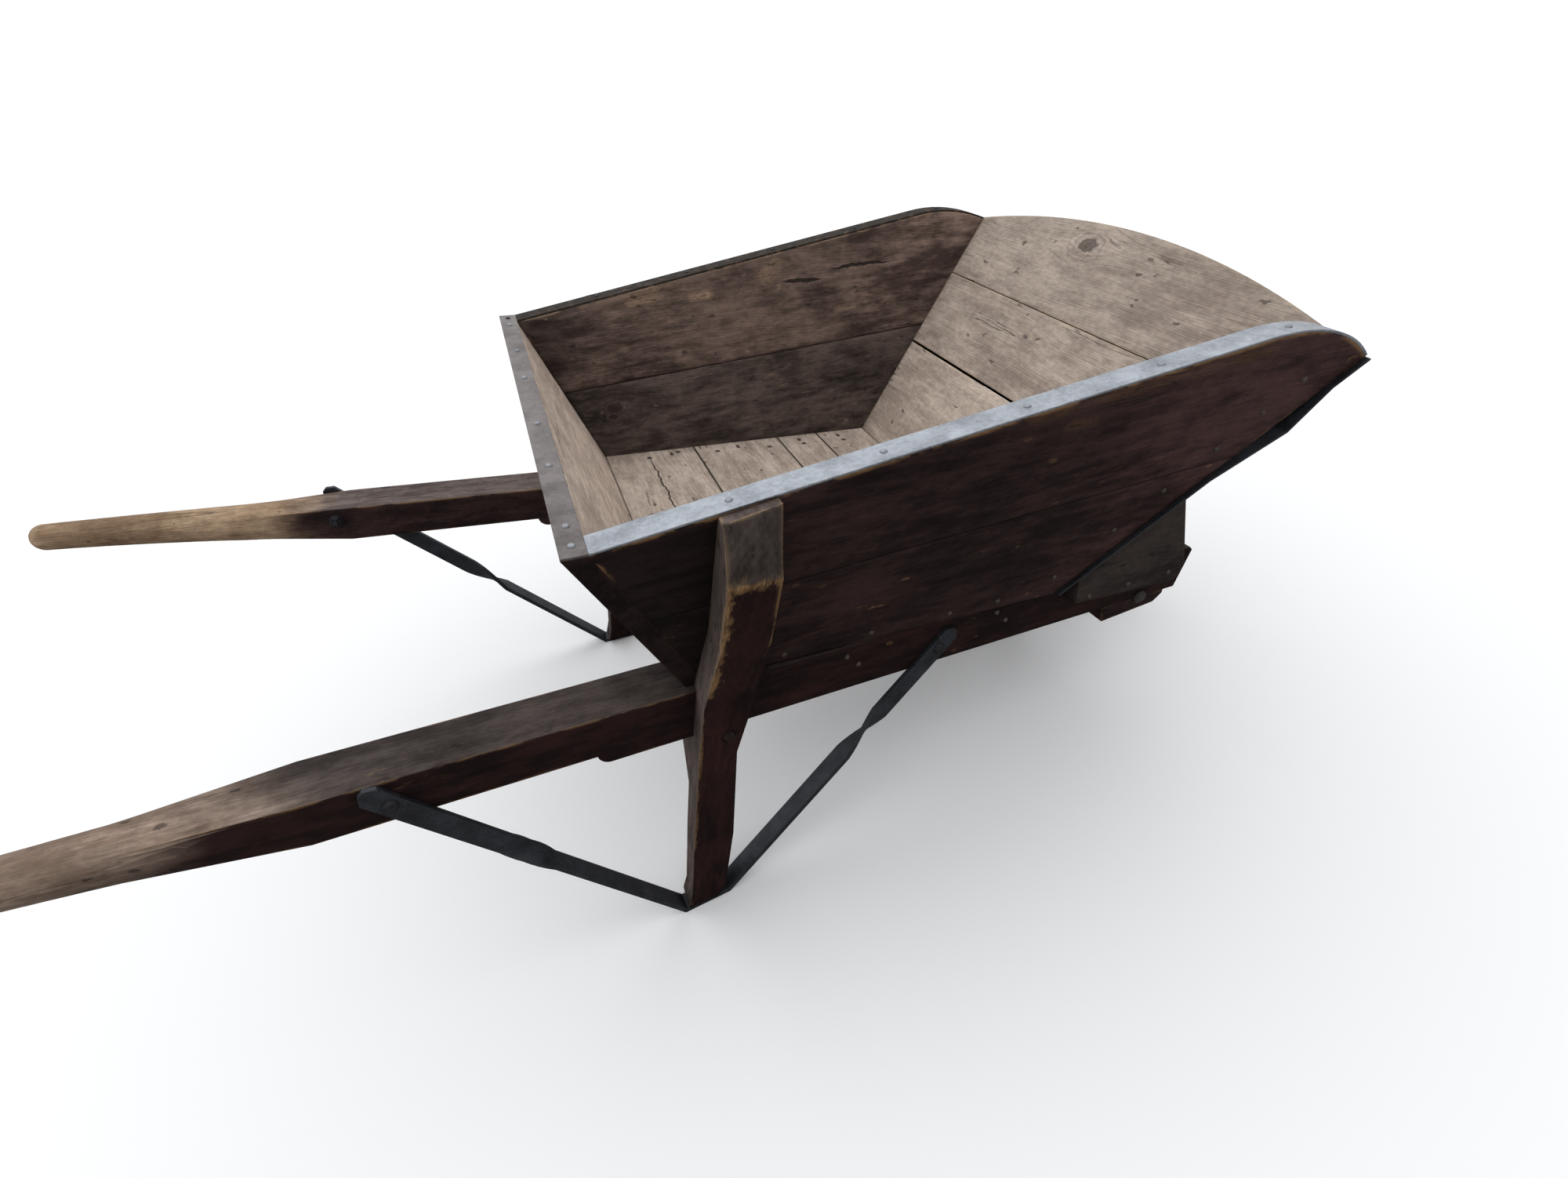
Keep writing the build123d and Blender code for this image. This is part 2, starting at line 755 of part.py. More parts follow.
leg_outer_deck = leg_inner(deck) + leg_thickness * stretch / leg_view_scale
leg_inner_edge = beam_face(leg_x) - beam_width / beam_cos
leg_top = rim(leg_top_front)
sole = -foot_drop - foot_thickness / 2
leg_bolt_seat = leg_outer(leg_bolt_z) - beam_face(leg_bolt_x) - washer_thickness
with BuildPart() as leg_right:
    with BuildSketch(leg_view):
        with BuildLine():
            Polyline(
                (leg_inner(leg_top), leg_top),
                (leg_inner(leg_top) + leg_top_thickness, leg_top),
                (leg_outer(leg_bevel_height), leg_bevel_height),
                (leg_outer_deck, deck),
                (leg_outer(sole), sole),
                (leg_outer(sole) - foot_thickness, sole),
                (leg_waist_inner, -leg_taper_share * foot_drop),
                (leg_inner_edge, underside - leg_shoulder),
                (leg_inner_edge, underside),
                (leg_inner(deck), deck),
                close=True,
            )
        make_face()
    extrude(amount=reach, both=True)
    with BuildSketch(profile):
        with BuildLine():
            Polyline(
                (leg_top_rear, rim(leg_top_rear) - leg_top_gap),
                (leg_knee_rear, leg_knee_height),
                *[(rear, -share * foot_drop) for share, rear, front in leg_stations],
                (foot_heel, -foot_drop),
                (foot_heel, sole),
                (foot_toe - foot_round, sole),
                (foot_toe - foot_round, -foot_drop - foot_round / 2),
                (foot_toe, -foot_drop + foot_round),
                *[(front, -share * foot_drop) for share, rear, front in reversed(leg_stations)],
                (leg_knee_front, leg_knee_height),
                (leg_knee_front, leg_shoulder_front),
                (leg_top_front, rim(leg_top_front) - leg_top_gap),
                close=True,
            )
        make_face()
    extrude(amount=reach, mode=Mode.INTERSECT)
    # Flat sole on the strap, notch over the beam, hole and seat for the bolt
    split(bisect_by=Plane.XY.offset(strap_thickness), keep=Keep.TOP)
    with BuildSketch(beam_right):
        with BuildLine():
            Polyline(
                (along(-reach), deck),
                (along(-reach), underside),
                (along(reach), underside),
                (along(reach), deck),
                close=True,
            )
        make_face()
    extrude(amount=-beam_width, mode=Mode.SUBTRACT)
    with BuildSketch(beam_spot(leg_bolt_x, leg_bolt_z, 0)):
        Circle(bolt_radius + bolt_clearance)
    extrude(amount=leg_thickness, mode=Mode.SUBTRACT)
    with BuildSketch(beam_spot(leg_bolt_x, leg_bolt_z, leg_bolt_seat)):
        Circle(bolt_head_radius + bolt_clearance)
    extrude(amount=leg_thickness, mode=Mode.SUBTRACT)
with BuildPart() as leg_left:
    mirror(leg_right.part, about=Plane.XZ)


def brace(back_arm, twist_back):
    """Right brace: one flat bar bent under the foot, with a quarter twist in each arm."""
    with BuildPart() as strap:
        limbs = ((back_arm, twist_back), (front_arm, twist_front))
        # Lower V, its width across the foot
        with BuildSketch(beam_right.offset((strap_thickness - strap_width) / 2)):
            with BuildLine():
                Polyline(
                    arm_point(back_arm, twist_back - twist_length / 2, 0),
                    back_arm[0],
                    front_arm[0],
                    arm_point(front_arm, twist_front - twist_length / 2, 0),
                )
                offset(amount=strap_thickness, side=Side.LEFT, kind=Kind.INTERSECTION)
            make_face()
        extrude(amount=strap_width)
        for limb, twist in limbs:
            corner, length, run, rise = limb
            # Quarter twist
            for step in range(5):
                distance = twist + twist_length * (step / 4 - 0.5)
                x, z = arm_point(limb, distance, strap_thickness / 2)
                turn = radians(90 * step / 4)
                across = (-rise * sin(turn), run * sin(turn), cos(turn))
                with BuildSketch(beam_spot(x * beam_cos, z, strap_thickness / 2, across, (run, rise, 0))):
                    Rectangle(strap_width, strap_thickness)
            loft()
            # Flat end on the beam's face, its corners clipped
            start = twist + twist_length / 2
            x, z = arm_point(limb, (start + length) / 2, strap_thickness / 2)
            with BuildSketch(beam_spot(x * beam_cos, z, 0, (run, rise, 0))) as flat:
                Rectangle(length - start, strap_width)
                end_corners = flat.vertices().sort_by(Axis((0, 0, 0), (1, 0, 0)))[-2:]
                chamfer(end_corners, length=strap_clip)
            extrude(amount=strap_thickness)
            with BuildSketch(strap_bolt_spot(limb, 0)):
                Circle(bolt_radius + bolt_clearance)
            extrude(amount=strap_thickness, mode=Mode.SUBTRACT)
        # Worn flat where it stands on the ground
        split(bisect_by=Plane.XY, keep=Keep.TOP)
    return strap.part


with BuildPart() as brace_right:
    add(brace(rear_arm, twist_rear))
with BuildPart() as brace_left:
    mirror(brace(rear_arm_left, twist_rear_left), about=Plane.XZ)

# Cheeks that carry the front boards, cut away where the sides come down past them
with BuildPart() as side_room:
    with BuildSketch(profile):
        with BuildLine():
            Polyline(
                edge_point(0, edge_strap_thickness),
                edge_point(2, edge_strap_thickness),
                (0, deck - edge_length),
                (0, rim_tip[1]),
                close=True,
            )
        make_face()
    extrude(amount=reach)
    split(bisect_by=side_inner, keep=Keep.TOP)
with BuildPart() as cheek_right:
    with BuildSketch(beam_right) as cheek_outline:
        with BuildLine():
            Polyline(
                (along(cheek_foot), cheek_foot_z),
                (along(cheek_toe), cheek_toe_z),
                (along(cheek_nose), cheek_nose_z),
                (along(floor_length + front_slope * cheek_top_z) + 2 * front_thickness, cheek_top_z),
                (along(floor_length + front_slope * cheek_top_z), cheek_top_z),
                (along(floor_length + front_slope * cheek_seat_z), cheek_seat_z),
                (along(floor_length + front_slope * cheek_seat_z) + 1.4 * front_thickness, cheek_seat_z),
                close=True,
            )
        make_face()
        toe = cheek_outline.vertices().sort_by(Axis.X)[-2:]
        fillet(toe, radius=cheek_round)
    extrude(amount=cheek_thickness)
    split(bisect_by=front_outer, keep=Keep.TOP)
    pierce(side_room, cheek_nails)
with BuildPart() as cheek_left:
    mirror(cheek_right.part, about=Plane.XZ)


def block_seat(offset_x):
    """Depth of a bearing block below the beam under one of its bolts."""
    share = (offset_x + block_rear) / (block_rear + block_front)
    return block_depth + (block_depth_front - block_depth) * share - washer_thickness


# Bearing blocks under the beams, grooved for the lower half of the axle
with BuildPart() as bearing_right:
    with BuildSketch(beam_right):
        with BuildLine():
            Polyline(
                (along(axle_x - block_rear), underside),
                (along(axle_x - block_rear) + block_nose / 2, underside - block_depth),
                (along(axle_x + block_front) - block_nose, underside - block_depth_front),
                (along(axle_x + block_front), underside - block_depth_front / 3),
                (along(axle_x + block_front), underside),
                close=True,
            )
        make_face()
    extrude(amount=-beam_width)
    with BuildSketch(wheel_plane):
        Circle(axle_radius + axle_clearance)
    extrude(amount=reach, mode=Mode.SUBTRACT)
    for offset_x in (-block_bolt_rear, block_bolt_front):
        with BuildSketch(block_bolt_spot(offset_x, underside)):
            Circle(bolt_radius + bolt_clearance)
        extrude(amount=-block_depth, mode=Mode.SUBTRACT)
        with BuildSketch(block_bolt_spot(offset_x, underside - block_seat(offset_x))):
            Circle(washer_radius + bolt_clearance)
        extrude(amount=-block_depth, mode=Mode.SUBTRACT)
with BuildPart() as bearing_left:
    mirror(bearing_right.part, about=Plane.XZ)

# Wheel: spokes let through the tyre and into the hub, all fast on the axle
with BuildPart(wheel_plane) as spokes:
    with PolarLocations((spoke_root + wheel_radius - 1) / 2, spoke_count, start_angle=180 / spoke_count):
        Cylinder(spoke_radius, wheel_radius - 1 - spoke_root, rotation=(0, 90, 0))
with BuildPart() as tyre:
    with BuildSketch(wheel_plane):
        Circle(wheel_radius)
        Circle(wheel_radius - tyre_thickness, mode=Mode.SUBTRACT)
    extrude(amount=tyre_width / 2, both=True)
    chamfer(tyre.edges().filter_by(GeomType.CIRCLE), length=1.5)
    add(spokes.part, mode=Mode.SUBTRACT)
with BuildPart() as hub:
    with BuildSketch(Plane(origin=axle_centre, x_dir=(0, 1, 0), z_dir=(1, 0, 0))):
        with BuildLine():
            Polyline(
                (-tyre_width / 2, hub_radius),
                (-hub_length / 3, hub_waist_radius),
                (-hub_length / 2, hub_waist_radius),
                (-hub_length / 2, axle_radius),
                (hub_length / 2, axle_radius),
                (hub_length / 2, hub_waist_radius),
                (hub_length / 3, hub_waist_radius),
                (tyre_width / 2, hub_radius),
                close=True,
            )
        make_face()
    revolve(axis=axle_axis)
    add(spokes.part, mode=Mode.SUBTRACT)

axle_half = beam_face(axle_x) + axle_end
collar_face = beam_face(axle_x + collar_radius) - beam_width / beam_cos - collar_play
collar_middle = collar_face - collar_length / 2
pin_centres = [axle_centre + Vector(0, y, 0) for y in (-collar_middle, collar_middle)]
with BuildPart() as collar_pins:
    with Locations(*pin_centres):
        Cylinder(pin_radius, 2 * collar_radius + 4)
with BuildPart() as hub_pin:
    with Locations(axle_centre + Vector(0, hub_length * 5 / 12, 0)):
        Cylinder(hub_pin_radius, 2 * hub_waist_radius + 4)
with BuildPart() as axle:
    with BuildSketch(wheel_plane):
        Circle(axle_radius)
    extrude(amount=axle_half, both=True)
    chamfer(axle.edges().filter_by(GeomType.CIRCLE), length=1)
    add(collar_pins.part, mode=Mode.SUBTRACT)
    add(hub_pin.part, mode=Mode.SUBTRACT)
with BuildPart() as collars:
    for start in (collar_face - collar_length, -collar_face):
        with BuildSketch(wheel_plane.offset(start)):
            Circle(collar_radius)
            Circle(axle_radius, mode=Mode.SUBTRACT)
        extrude(amount=collar_length)
    add(collar_pins.part, mode=Mode.SUBTRACT)
with BuildPart() as wheel_hub:
    add(hub.part)
    add(hub_pin.part, mode=Mode.SUBTRACT)


def bolt_row(spots):
    """Round-headed bolts, each as (head plane, length under the head)."""
    with BuildPart() as bolts:
        for spot, length in spots:
            with BuildSketch(spot):
                Circle(bolt_head_radius)
            extrude(amount=bolt_head_height, taper=35)
            with BuildSketch(spot):
                Circle(bolt_radius)
            extrude(amount=-length)
    return bolts.part


def nut_row(spots):
    """A washer and a hexagon nut on each plane, growing along its normal."""
    with BuildPart() as nuts:
        for spot in spots:
            with BuildSketch(spot):
                Circle(washer_radius)
                Circle(bolt_radius, mode=Mode.SUBTRACT)
            extrude(amount=washer_thickness)
            with BuildSketch(spot.offset(washer_thickness)):
                RegularPolygon(nut_size / 2, 6, major_radius=False)
                Circle(bolt_radius, mode=Mode.SUBTRACT)
            extrude(amount=nut_height)
    return nuts.part


def inner_spot(x, z):
    """Plane on the right beam's inner face, facing inward."""
    return beam_spot(x, z, -beam_width, (-1, 0, 0), (0, 0, -1))


# Bolts and nuts
through = washer_thickness + nut_height + 3
rear_x, rear_z = arm_point(rear_arm, rear_arm[1] - strap_bolt_inset, strap_thickness / 2)
left_x, left_z = arm_point(rear_arm_left, rear_arm_left[1] - strap_bolt_inset, strap_thickness / 2)
front_x, front_z = arm_point(front_arm, front_arm[1] - strap_bolt_inset, strap_thickness / 2)
strap_grip = strap_thickness + beam_width + through
with BuildPart() as leg_bolts:
    leg_grip = leg_bolt_seat + beam_width + through
    add(both_sides(bolt_row([(beam_spot(leg_bolt_x, leg_bolt_z, leg_bolt_seat), leg_grip)])))
with BuildPart() as leg_nuts:
    add(both_sides(nut_row([inner_spot(leg_bolt_x, leg_bolt_z)])))
right_spots = [(strap_bolt_spot(limb, strap_thickness), strap_grip) for limb in (rear_arm, front_arm)]
left_spots = [(strap_bolt_spot(limb, strap_thickness), strap_grip) for limb in (rear_arm_left, front_arm)]
with BuildPart() as brace_bolts:
    add(bolt_row(right_spots))
    mirror(bolt_row(left_spots), about=Plane.XZ)
with BuildPart() as brace_nuts:
    add(nut_row([inner_spot(rear_x * beam_cos, rear_z), inner_spot(front_x * beam_cos, front_z)]))
    mirror(
        nut_row([inner_spot(left_x * beam_cos, left_z), inner_spot(front_x * beam_cos, front_z)]),
        about=Plane.XZ,
    )
block_offsets = (-block_bolt_rear, block_bolt_front)
block_bolt_list = []
block_nut_list = []
for x in block_offsets:
    seat = block_seat(x)
    block_bolt_list.append((block_bolt_spot(x, deck), beam_depth + seat + through))
    block_nut_list.append(beam_spot(axle_x + x, underside - seat, -beam_width / 2, (1, 0, 0), (0, -1, 0)))
with BuildPart() as bearing_bolts:
    add(both_sides(bolt_row(block_bolt_list)))
with BuildPart() as bearing_nuts:
    add(both_sides(nut_row(block_nut_list)))

pieces = {
    "beam_right": beam_right_timber,
    "beam_left": beam_left_timber,
    "cross_rail_rear": cross_rail_rear,
    "cross_rail_front": cross_rail_front,
    "floor_board_rear": floor_board_rear,
    "floor_board_middle": floor_board_middle,
    "floor_board_narrow": floor_board_narrow,
    "floor_board_front": floor_board_front,
    "side_right_lower": side_right_lower,
    "side_right_upper": side_right_upper,
    "side_left_lower": side_left_lower,
    "side_left_upper": side_left_upper,
    "tailboard": tailboard,
    "front_board_lower": front_board_lower,
    "front_board_middle": front_board_middle,
    "front_board_upper": front_board_upper,
    "side_strip_right": side_strip_right,
    "side_strip_left": side_strip_left,
    "tail_strip": tail_strip,
    "edge_strap_right": edge_strap_right,
    "edge_strap_left": edge_strap_left,
    "leg_right": leg_right,
    "leg_left": leg_left,
    "brace_right": brace_right,
    "brace_left": brace_left,
    "cheek_right": cheek_right,
    "cheek_left": cheek_left,
    "bearing_right": bearing_right,
    "bearing_left": bearing_left,
    "tyre": tyre,
    "spokes": spokes,
    "hub": wheel_hub,
    "hub_pin": hub_pin,
    "axle": axle,
    "collars": collars,
    "collar_pins": collar_pins,
    "leg_bolts": leg_bolts,
    "leg_nuts": leg_nuts,
    "brace_bolts": brace_bolts,
    "brace_nuts": brace_nuts,
    "bearing_bolts": bearing_bolts,
    "bearing_nuts": bearing_nuts,
    "strip_nails": strip_nails,
    "floor_nails": floor_nails,
    "side_nails": side_nails,
    "tail_nails": tail_nails,
    "front_nails": front_nails,
    "cheek_nails": cheek_nails,
    "rail_nails": rail_nails,
}
for label, name in pieces.items():
    name.part.label = label
    export_step(name.part, f"parts/{label}.step")
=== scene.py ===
import math

import bpy
from mathutils import Matrix, Vector

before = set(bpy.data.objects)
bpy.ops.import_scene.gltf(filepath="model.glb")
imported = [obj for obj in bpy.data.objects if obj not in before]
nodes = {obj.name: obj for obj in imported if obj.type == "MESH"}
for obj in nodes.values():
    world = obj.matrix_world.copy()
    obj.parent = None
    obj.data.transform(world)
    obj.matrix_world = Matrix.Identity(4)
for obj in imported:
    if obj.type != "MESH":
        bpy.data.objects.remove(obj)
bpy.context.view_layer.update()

# The bed frame: x forward along the tray's floor, z square to it, origin at the tailboard's foot
STANCE = math.radians(8.18547)
BED_ORIGIN = Vector((-0.017598, 0, 0.3591426))
BED_X = Vector((math.cos(STANCE), 0, -math.sin(STANCE)))
BED_Y = Vector((0, 1, 0))
BED_Z = Vector((math.sin(STANCE), 0, math.cos(STANCE)))
MILLIMETRE = 0.001

# Angles of the boards and beams in the bed frame
SIDE_TAPER = math.radians(2.58)
SIDE_FLARE = math.radians(18.0)
SEAM_RISE = math.radians(5.43)
FRONT_LEAN = math.radians(38.1)
TAIL_LEAN = math.radians(25.7)
BEAM_TAPER = math.radians(5.26)
HANDS = (("right", -1), ("left", 1))


def bed_direction(x, y, z):
    return BED_X * x + BED_Y * y + BED_Z * z


def bed_point(x, y, z):
    """A point given in millimetres of the bed frame, in metres of the shared frame."""
    return BED_ORIGIN + bed_direction(x, y, z) * MILLIMETRE


# Values of a step that falls, and samples for rounded edges and the painted shade in corners
FADE_OUT = (1.0, 0.0)
SHADER_SAMPLES = 6


class Nodes:
    """One tree of nodes, with short ways to add to it."""

    def __init__(self, tree):
        self.tree = tree
        self.tree.nodes.clear()

    def fill(self, socket, value):
        """Link another node's output to a socket, or set a plain value on it."""
        if isinstance(value, bpy.types.NodeSocket):
            self.tree.links.new(value, socket)
        else:
            socket.default_value = value

    def node(self, kind, settings=None, inputs=None):
        made = self.tree.nodes.new(kind)
        for key, value in (settings or {}).items():
            setattr(made, key, value)
        for key, value in (inputs or {}).items():
            self.fill(made.inputs[key], value)
        return made

    def math(self, operation, a, b=0.0, clamp=False):
        settings = {"operation": operation, "use_clamp": clamp}
        return self.node("ShaderNodeMath", settings, {0: a, 1: b}).outputs[0]

    def vector(self, operation, a, b=(0, 0, 0)):
        made = self.node("ShaderNodeVectorMath", {"operation": operation}, {0: a, 1: b})
        return made.outputs["Value" if operation in ("DOT_PRODUCT", "LENGTH") else "Vector"]

    def split(self, vector):
        """The outputs X, Y and Z of a vector."""
        return self.node("ShaderNodeSeparateXYZ", {}, {0: vector}).outputs

    def noise_node(self, coords, pattern):
        """Noise of a pattern, given as (cycles per metre on three axes), detail and roughness."""
        cycles, detail, roughness = pattern
        scaled = self.vector("MULTIPLY", coords, cycles)
        inputs = {"Vector": scaled, "Scale": 1.0, "Detail": detail, "Roughness": roughness}
        return self.node("ShaderNodeTexNoise", {}, inputs)

    def noise(self, coords, pattern):
        return self.noise_node(coords, pattern).outputs["Fac"]

    def step(self, value, band, to=(0.0, 1.0)):
        """Smooth step from one value to another while the input runs through a band."""
        low, high = band
        first, last = to
        inputs = {"Value": value, "From Min": low, "From Max": high, "To Min": first, "To Max": last}
        made = self.node("ShaderNodeMapRange", {"interpolation_type": "SMOOTHSTEP"}, inputs)
        return made.outputs["Result"]

    def mix(self, share, a, b, blend="MIX"):
        made = self.node("ShaderNodeMix", {"data_type": "RGBA", "blend_type": blend})
        for socket, value in zip((made.inputs[0], made.inputs[6], made.inputs[7]), (share, a, b)):
            if isinstance(value, tuple) and len(value) == 3:
                value = (*value, 1.0)
            self.fill(socket, value)
        return made.outputs[2]

    def weighted_sum(self, *parts):
        """Sum of parts, each a value and its factor."""
        scaled = [self.math("MULTIPLY", value, factor) for value, factor in parts]
        total = scaled[0]
        for part in scaled[1:]:
            total = self.math("ADD", total, part)
        return total

    def ragged(self, value, noise, size):
        """A value pushed up and down by noise, to make a bound uneven."""
        push = self.math("MULTIPLY", self.math("SUBTRACT", noise, 0.5), size)
        return self.math("ADD", value, push)


class Shader(Nodes):
    """One material with a principled surface."""

    def __init__(self, name):
        self.material = bpy.data.materials.new(name)
        self.material.use_nodes = True
        super().__init__(self.material.node_tree)
        output = self.node("ShaderNodeOutputMaterial")
        self.surface = self.node("ShaderNodeBsdfPrincipled")
        self.fill(output.inputs["Surface"], self.surface.outputs["BSDF"])
        self.place = self.node("ShaderNodeTexCoord").outputs["Object"]
        self.normal = self.node("ShaderNodeNewGeometry").outputs["True Normal"]

    def set_surface(self, inputs):
        for key, value in inputs.items():
            self.fill(self.surface.inputs[key], value)

    def past(self, point, direction):
        """Distance past a point along a direction."""
        from_point = self.vector("SUBTRACT", self.place, point)
        return self.vector("DOT_PRODUCT", from_point, direction.normalized())

    def facing(self, direction, band):
        """How far a face looks along a direction, as a step between two bounds."""
        along = self.vector("DOT_PRODUCT", self.normal, direction.normalized())
        return self.step(along, band)

    def shade(self, colour, tone):
        """A colour multiplied by a tone."""
        grey = self.node("ShaderNodeCombineColor", {}, {0: tone, 1: tone, 2: tone}).outputs[0]
        return self.mix(1.0, colour, grey, "MULTIPLY")

    def edges(self, radius):
        """Rounded normal near edges, and how strongly a point lies on an edge."""
        settings = {"samples": SHADER_SAMPLES}
        rounded = self.node("ShaderNodeBevel", settings, {"Radius": radius}).outputs["Normal"]
        edge = self.math("SUBTRACT", 1.0, self.vector("DOT_PRODUCT", rounded, self.normal))
        return rounded, edge

    # Painted shade: darker where ambient occlusion finds nearby surfaces, in corners and between parts
    def paint_corner_shade(self, colour, reach, band, tone):
        settings = {"samples": SHADER_SAMPLES}
        corner = self.node("ShaderNodeAmbientOcclusion", settings, {"Distance": reach}).outputs["AO"]
        return self.shade(colour, self.step(corner, band, (tone, 1.0)))

    def bump(self, height, strength, depth, rounded):
        inputs = {"Height": height, "Strength": strength, "Distance": depth, "Normal": rounded}
        return self.node("ShaderNodeBump", {}, inputs).outputs["Normal"]


# Colours of the weathered wood, each as (dark, light, worn)
LIGHT_WOOD = ((0.33, 0.26, 0.21), (0.56, 0.457, 0.379), (0.66, 0.51, 0.34))
BROWN_WOOD = ((0.042, 0.026, 0.021), (0.198, 0.137, 0.110), (0.46, 0.31, 0.20))
SHADE_WOOD = ((0.022, 0.015, 0.012), (0.122, 0.089, 0.074), (0.34, 0.25, 0.17))
DARK_WOOD = ((0.0125, 0.0057, 0.0054), (0.053, 0.0272, 0.0252), (0.42, 0.23, 0.10))
GREY_WOOD = ((0.052, 0.037, 0.033), (0.155, 0.118, 0.103), (0.46, 0.31, 0.18))
LEG_WOOD = ((0.009, 0.0030, 0.0027), (0.033, 0.0120, 0.0105), (0.46, 0.27, 0.12))
BEAM_WOOD = ((0.008, 0.0029, 0.0026), (0.032, 0.0125, 0.0110), (0.42, 0.23, 0.10))
GRIP_WOOD = {
    "right": ((0.21, 0.145, 0.105), (0.50, 0.375, 0.290), (0.62, 0.46, 0.30)),
    "left": ((0.23, 0.145, 0.085), (0.52, 0.365, 0.235), (0.62, 0.46, 0.30)),
}
CRACK = (0.012, 0.008, 0.007)
KNOT = (0.020, 0.013, 0.012)
BRIGHTEST = 0.8

# Noise in the wood: cycles per metre along, across and through the grain, detail, roughness
WAVE_NOISE = ((2.2, 7, 7), 2.0, 0.5)
KNOT_NOISE = ((90, 140, 140), 2.0, 0.55)
FIBRE_NOISE = ((14, 620, 620), 5.0, 0.65)
COARSE_NOISE = ((15, 80, 80), 6.0, 0.68)
PATINA_NOISE = ((5, 10, 10), 5.0, 0.6)
BLOTCH_NOISE = ((24, 36, 36), 6.0, 0.7)
MOTTLE_NOISE = ((110, 190, 190), 4.0, 0.6)
CHECK_NOISE = ((3.2, 75, 75), 3.0, 0.5)
CHECK_AREA_NOISE = ((5.1, 13, 13), 2.0, 0.55)
CRACK_NOISE = ((42, 8, 8), 4.0, 0.65)
STAIN_NOISE = ((9, 16, 16), 4.0, 0.6)
EDGE_NOISE = ((24, 60, 60), 4.0, 0.6)
SMUDGE_NOISE = ((34, 90, 90), 4.0, 0.65)
SMUDGE_AREA_NOISE = ((8, 15, 15), 2.0, 0.55)
DENT_CELLS = (38, 75, 75)
GRAIN_WAVE = 0.03
SEED_SHIFT = (0.731, 1.377, 0.419)

# Growth rings: the pith lies under the board, sways with the board's seed and leans along the board
RING_RADIANS = 1900.0
PITH_DEPTH = 0.07
PITH_SWAY_ACROSS = 0.09
PITH_SWAY_DEEP = 0.03
PITH_LEAN = 0.02
PITH_LEAN_SWAY = 0.015
PITH_PHASES = (3.3, 7.7, 5.1)
RING_BAND = (-0.2, 1.0)
RING_TONES = (1.03, 0.93)

# Knots, in shares of their own size
KNOT_STRETCH = 0.6
KNOT_RAGGED = 0.6
KNOT_HEART = (0.5, 0.85)
KNOT_HALO = (0.9, 2.2)
KNOT_HALO_DEPTH = 0.5
KNOT_RING_RADIANS = 13.0
KNOT_RING_BAND = (0.3, 1.0)
KNOT_PUSH = 0.9

# Cracks, pits and chips
CHECK_BAND = (0.0, 0.010)
CHECK_AREA_BAND = (0.56, 0.68)
CHECK_STRENGTH = 0.9
CRACK_WOBBLE = 0.012
CRACK_START = (0.0, 0.3)
CRACK_END = (0.7, 1.0)
CRACK_BAND = (0.5, 1.0)
LEAST_OPENING = 0.00005
DENT_RAGGED = 0.9
PIT_SIZE = (0.10, 0.20)
PIT_CHANCE = (0.80, 0.82)
PIT_STRENGTH = 0.55
CHIP_SIZE = (0.12, 0.22)
CHIP_CHANCE = (0.965, 0.97)
CHIP_STRENGTH = 0.25

# Finishes on parts of a board, tones of the grain, stains, and painted light and shade
FACED_BAND = (0.25, 0.55)
TIP_FACED_BAND = (0.6, 0.8)
TIP_BAND = (-0.001, 0.003)
TIP_WOBBLE = 0.012
GRIP_TOP_BAND = (0.0, 0.8)
GRIP_WOBBLE = 0.16
TONE_BAND = (0.50, 0.76)
FIBRE_BAND = (0.3, 0.72)
FIBRE_TONES = (0.84, 1.11)
MOTTLE_BAND = (0.3, 0.7)
MOTTLE_TONES = (0.86, 1.10)
STAIN_BAND = (0.56, 0.74)
STAIN_STRENGTH = 0.4
PAINTED_SHADE_WOBBLE = 0.03

# Wear of the edges and faces, dirt, and painted shade in corners
ROUGH_EDGE_BAND = (0.36, 0.66)
EDGE_WEAR_BAND = (0.02, 0.14)
EDGE_STRENGTH = 0.85
WORN_PAST_BAND = (0.0, 0.03)
SMUDGE_BAND = (0.58, 0.74)
SMUDGE_AREA_BAND = (0.55, 0.70)
SMUDGE_STRENGTH = 0.5
SCUFF_FRAY = 3
FRAY_MEAN = 1.5
SPECKLE_BAND = (0.75, 1.2)
SPECKLE_SHARES = (0.25, 1.0)
DIRT_BAND = (0.01, 0.12)
CORNER_REACH = 0.05
CORNER_BAND = (0.25, 0.85)
CORNER_TONE = 0.6

# Surface of the wood
WOOD_ROUGH = 0.62
WOOD_ROUGH_FIBRE = 0.28
WOOD_SHINE = 0.15
WOOD_BUMP = 0.6
WOOD_DEPTH = 0.0016


def tint(finish, share):
    """A finish made darker or lighter."""
    return tuple(tuple(min(channel * share, BRIGHTEST) for channel in colour) for colour in finish)


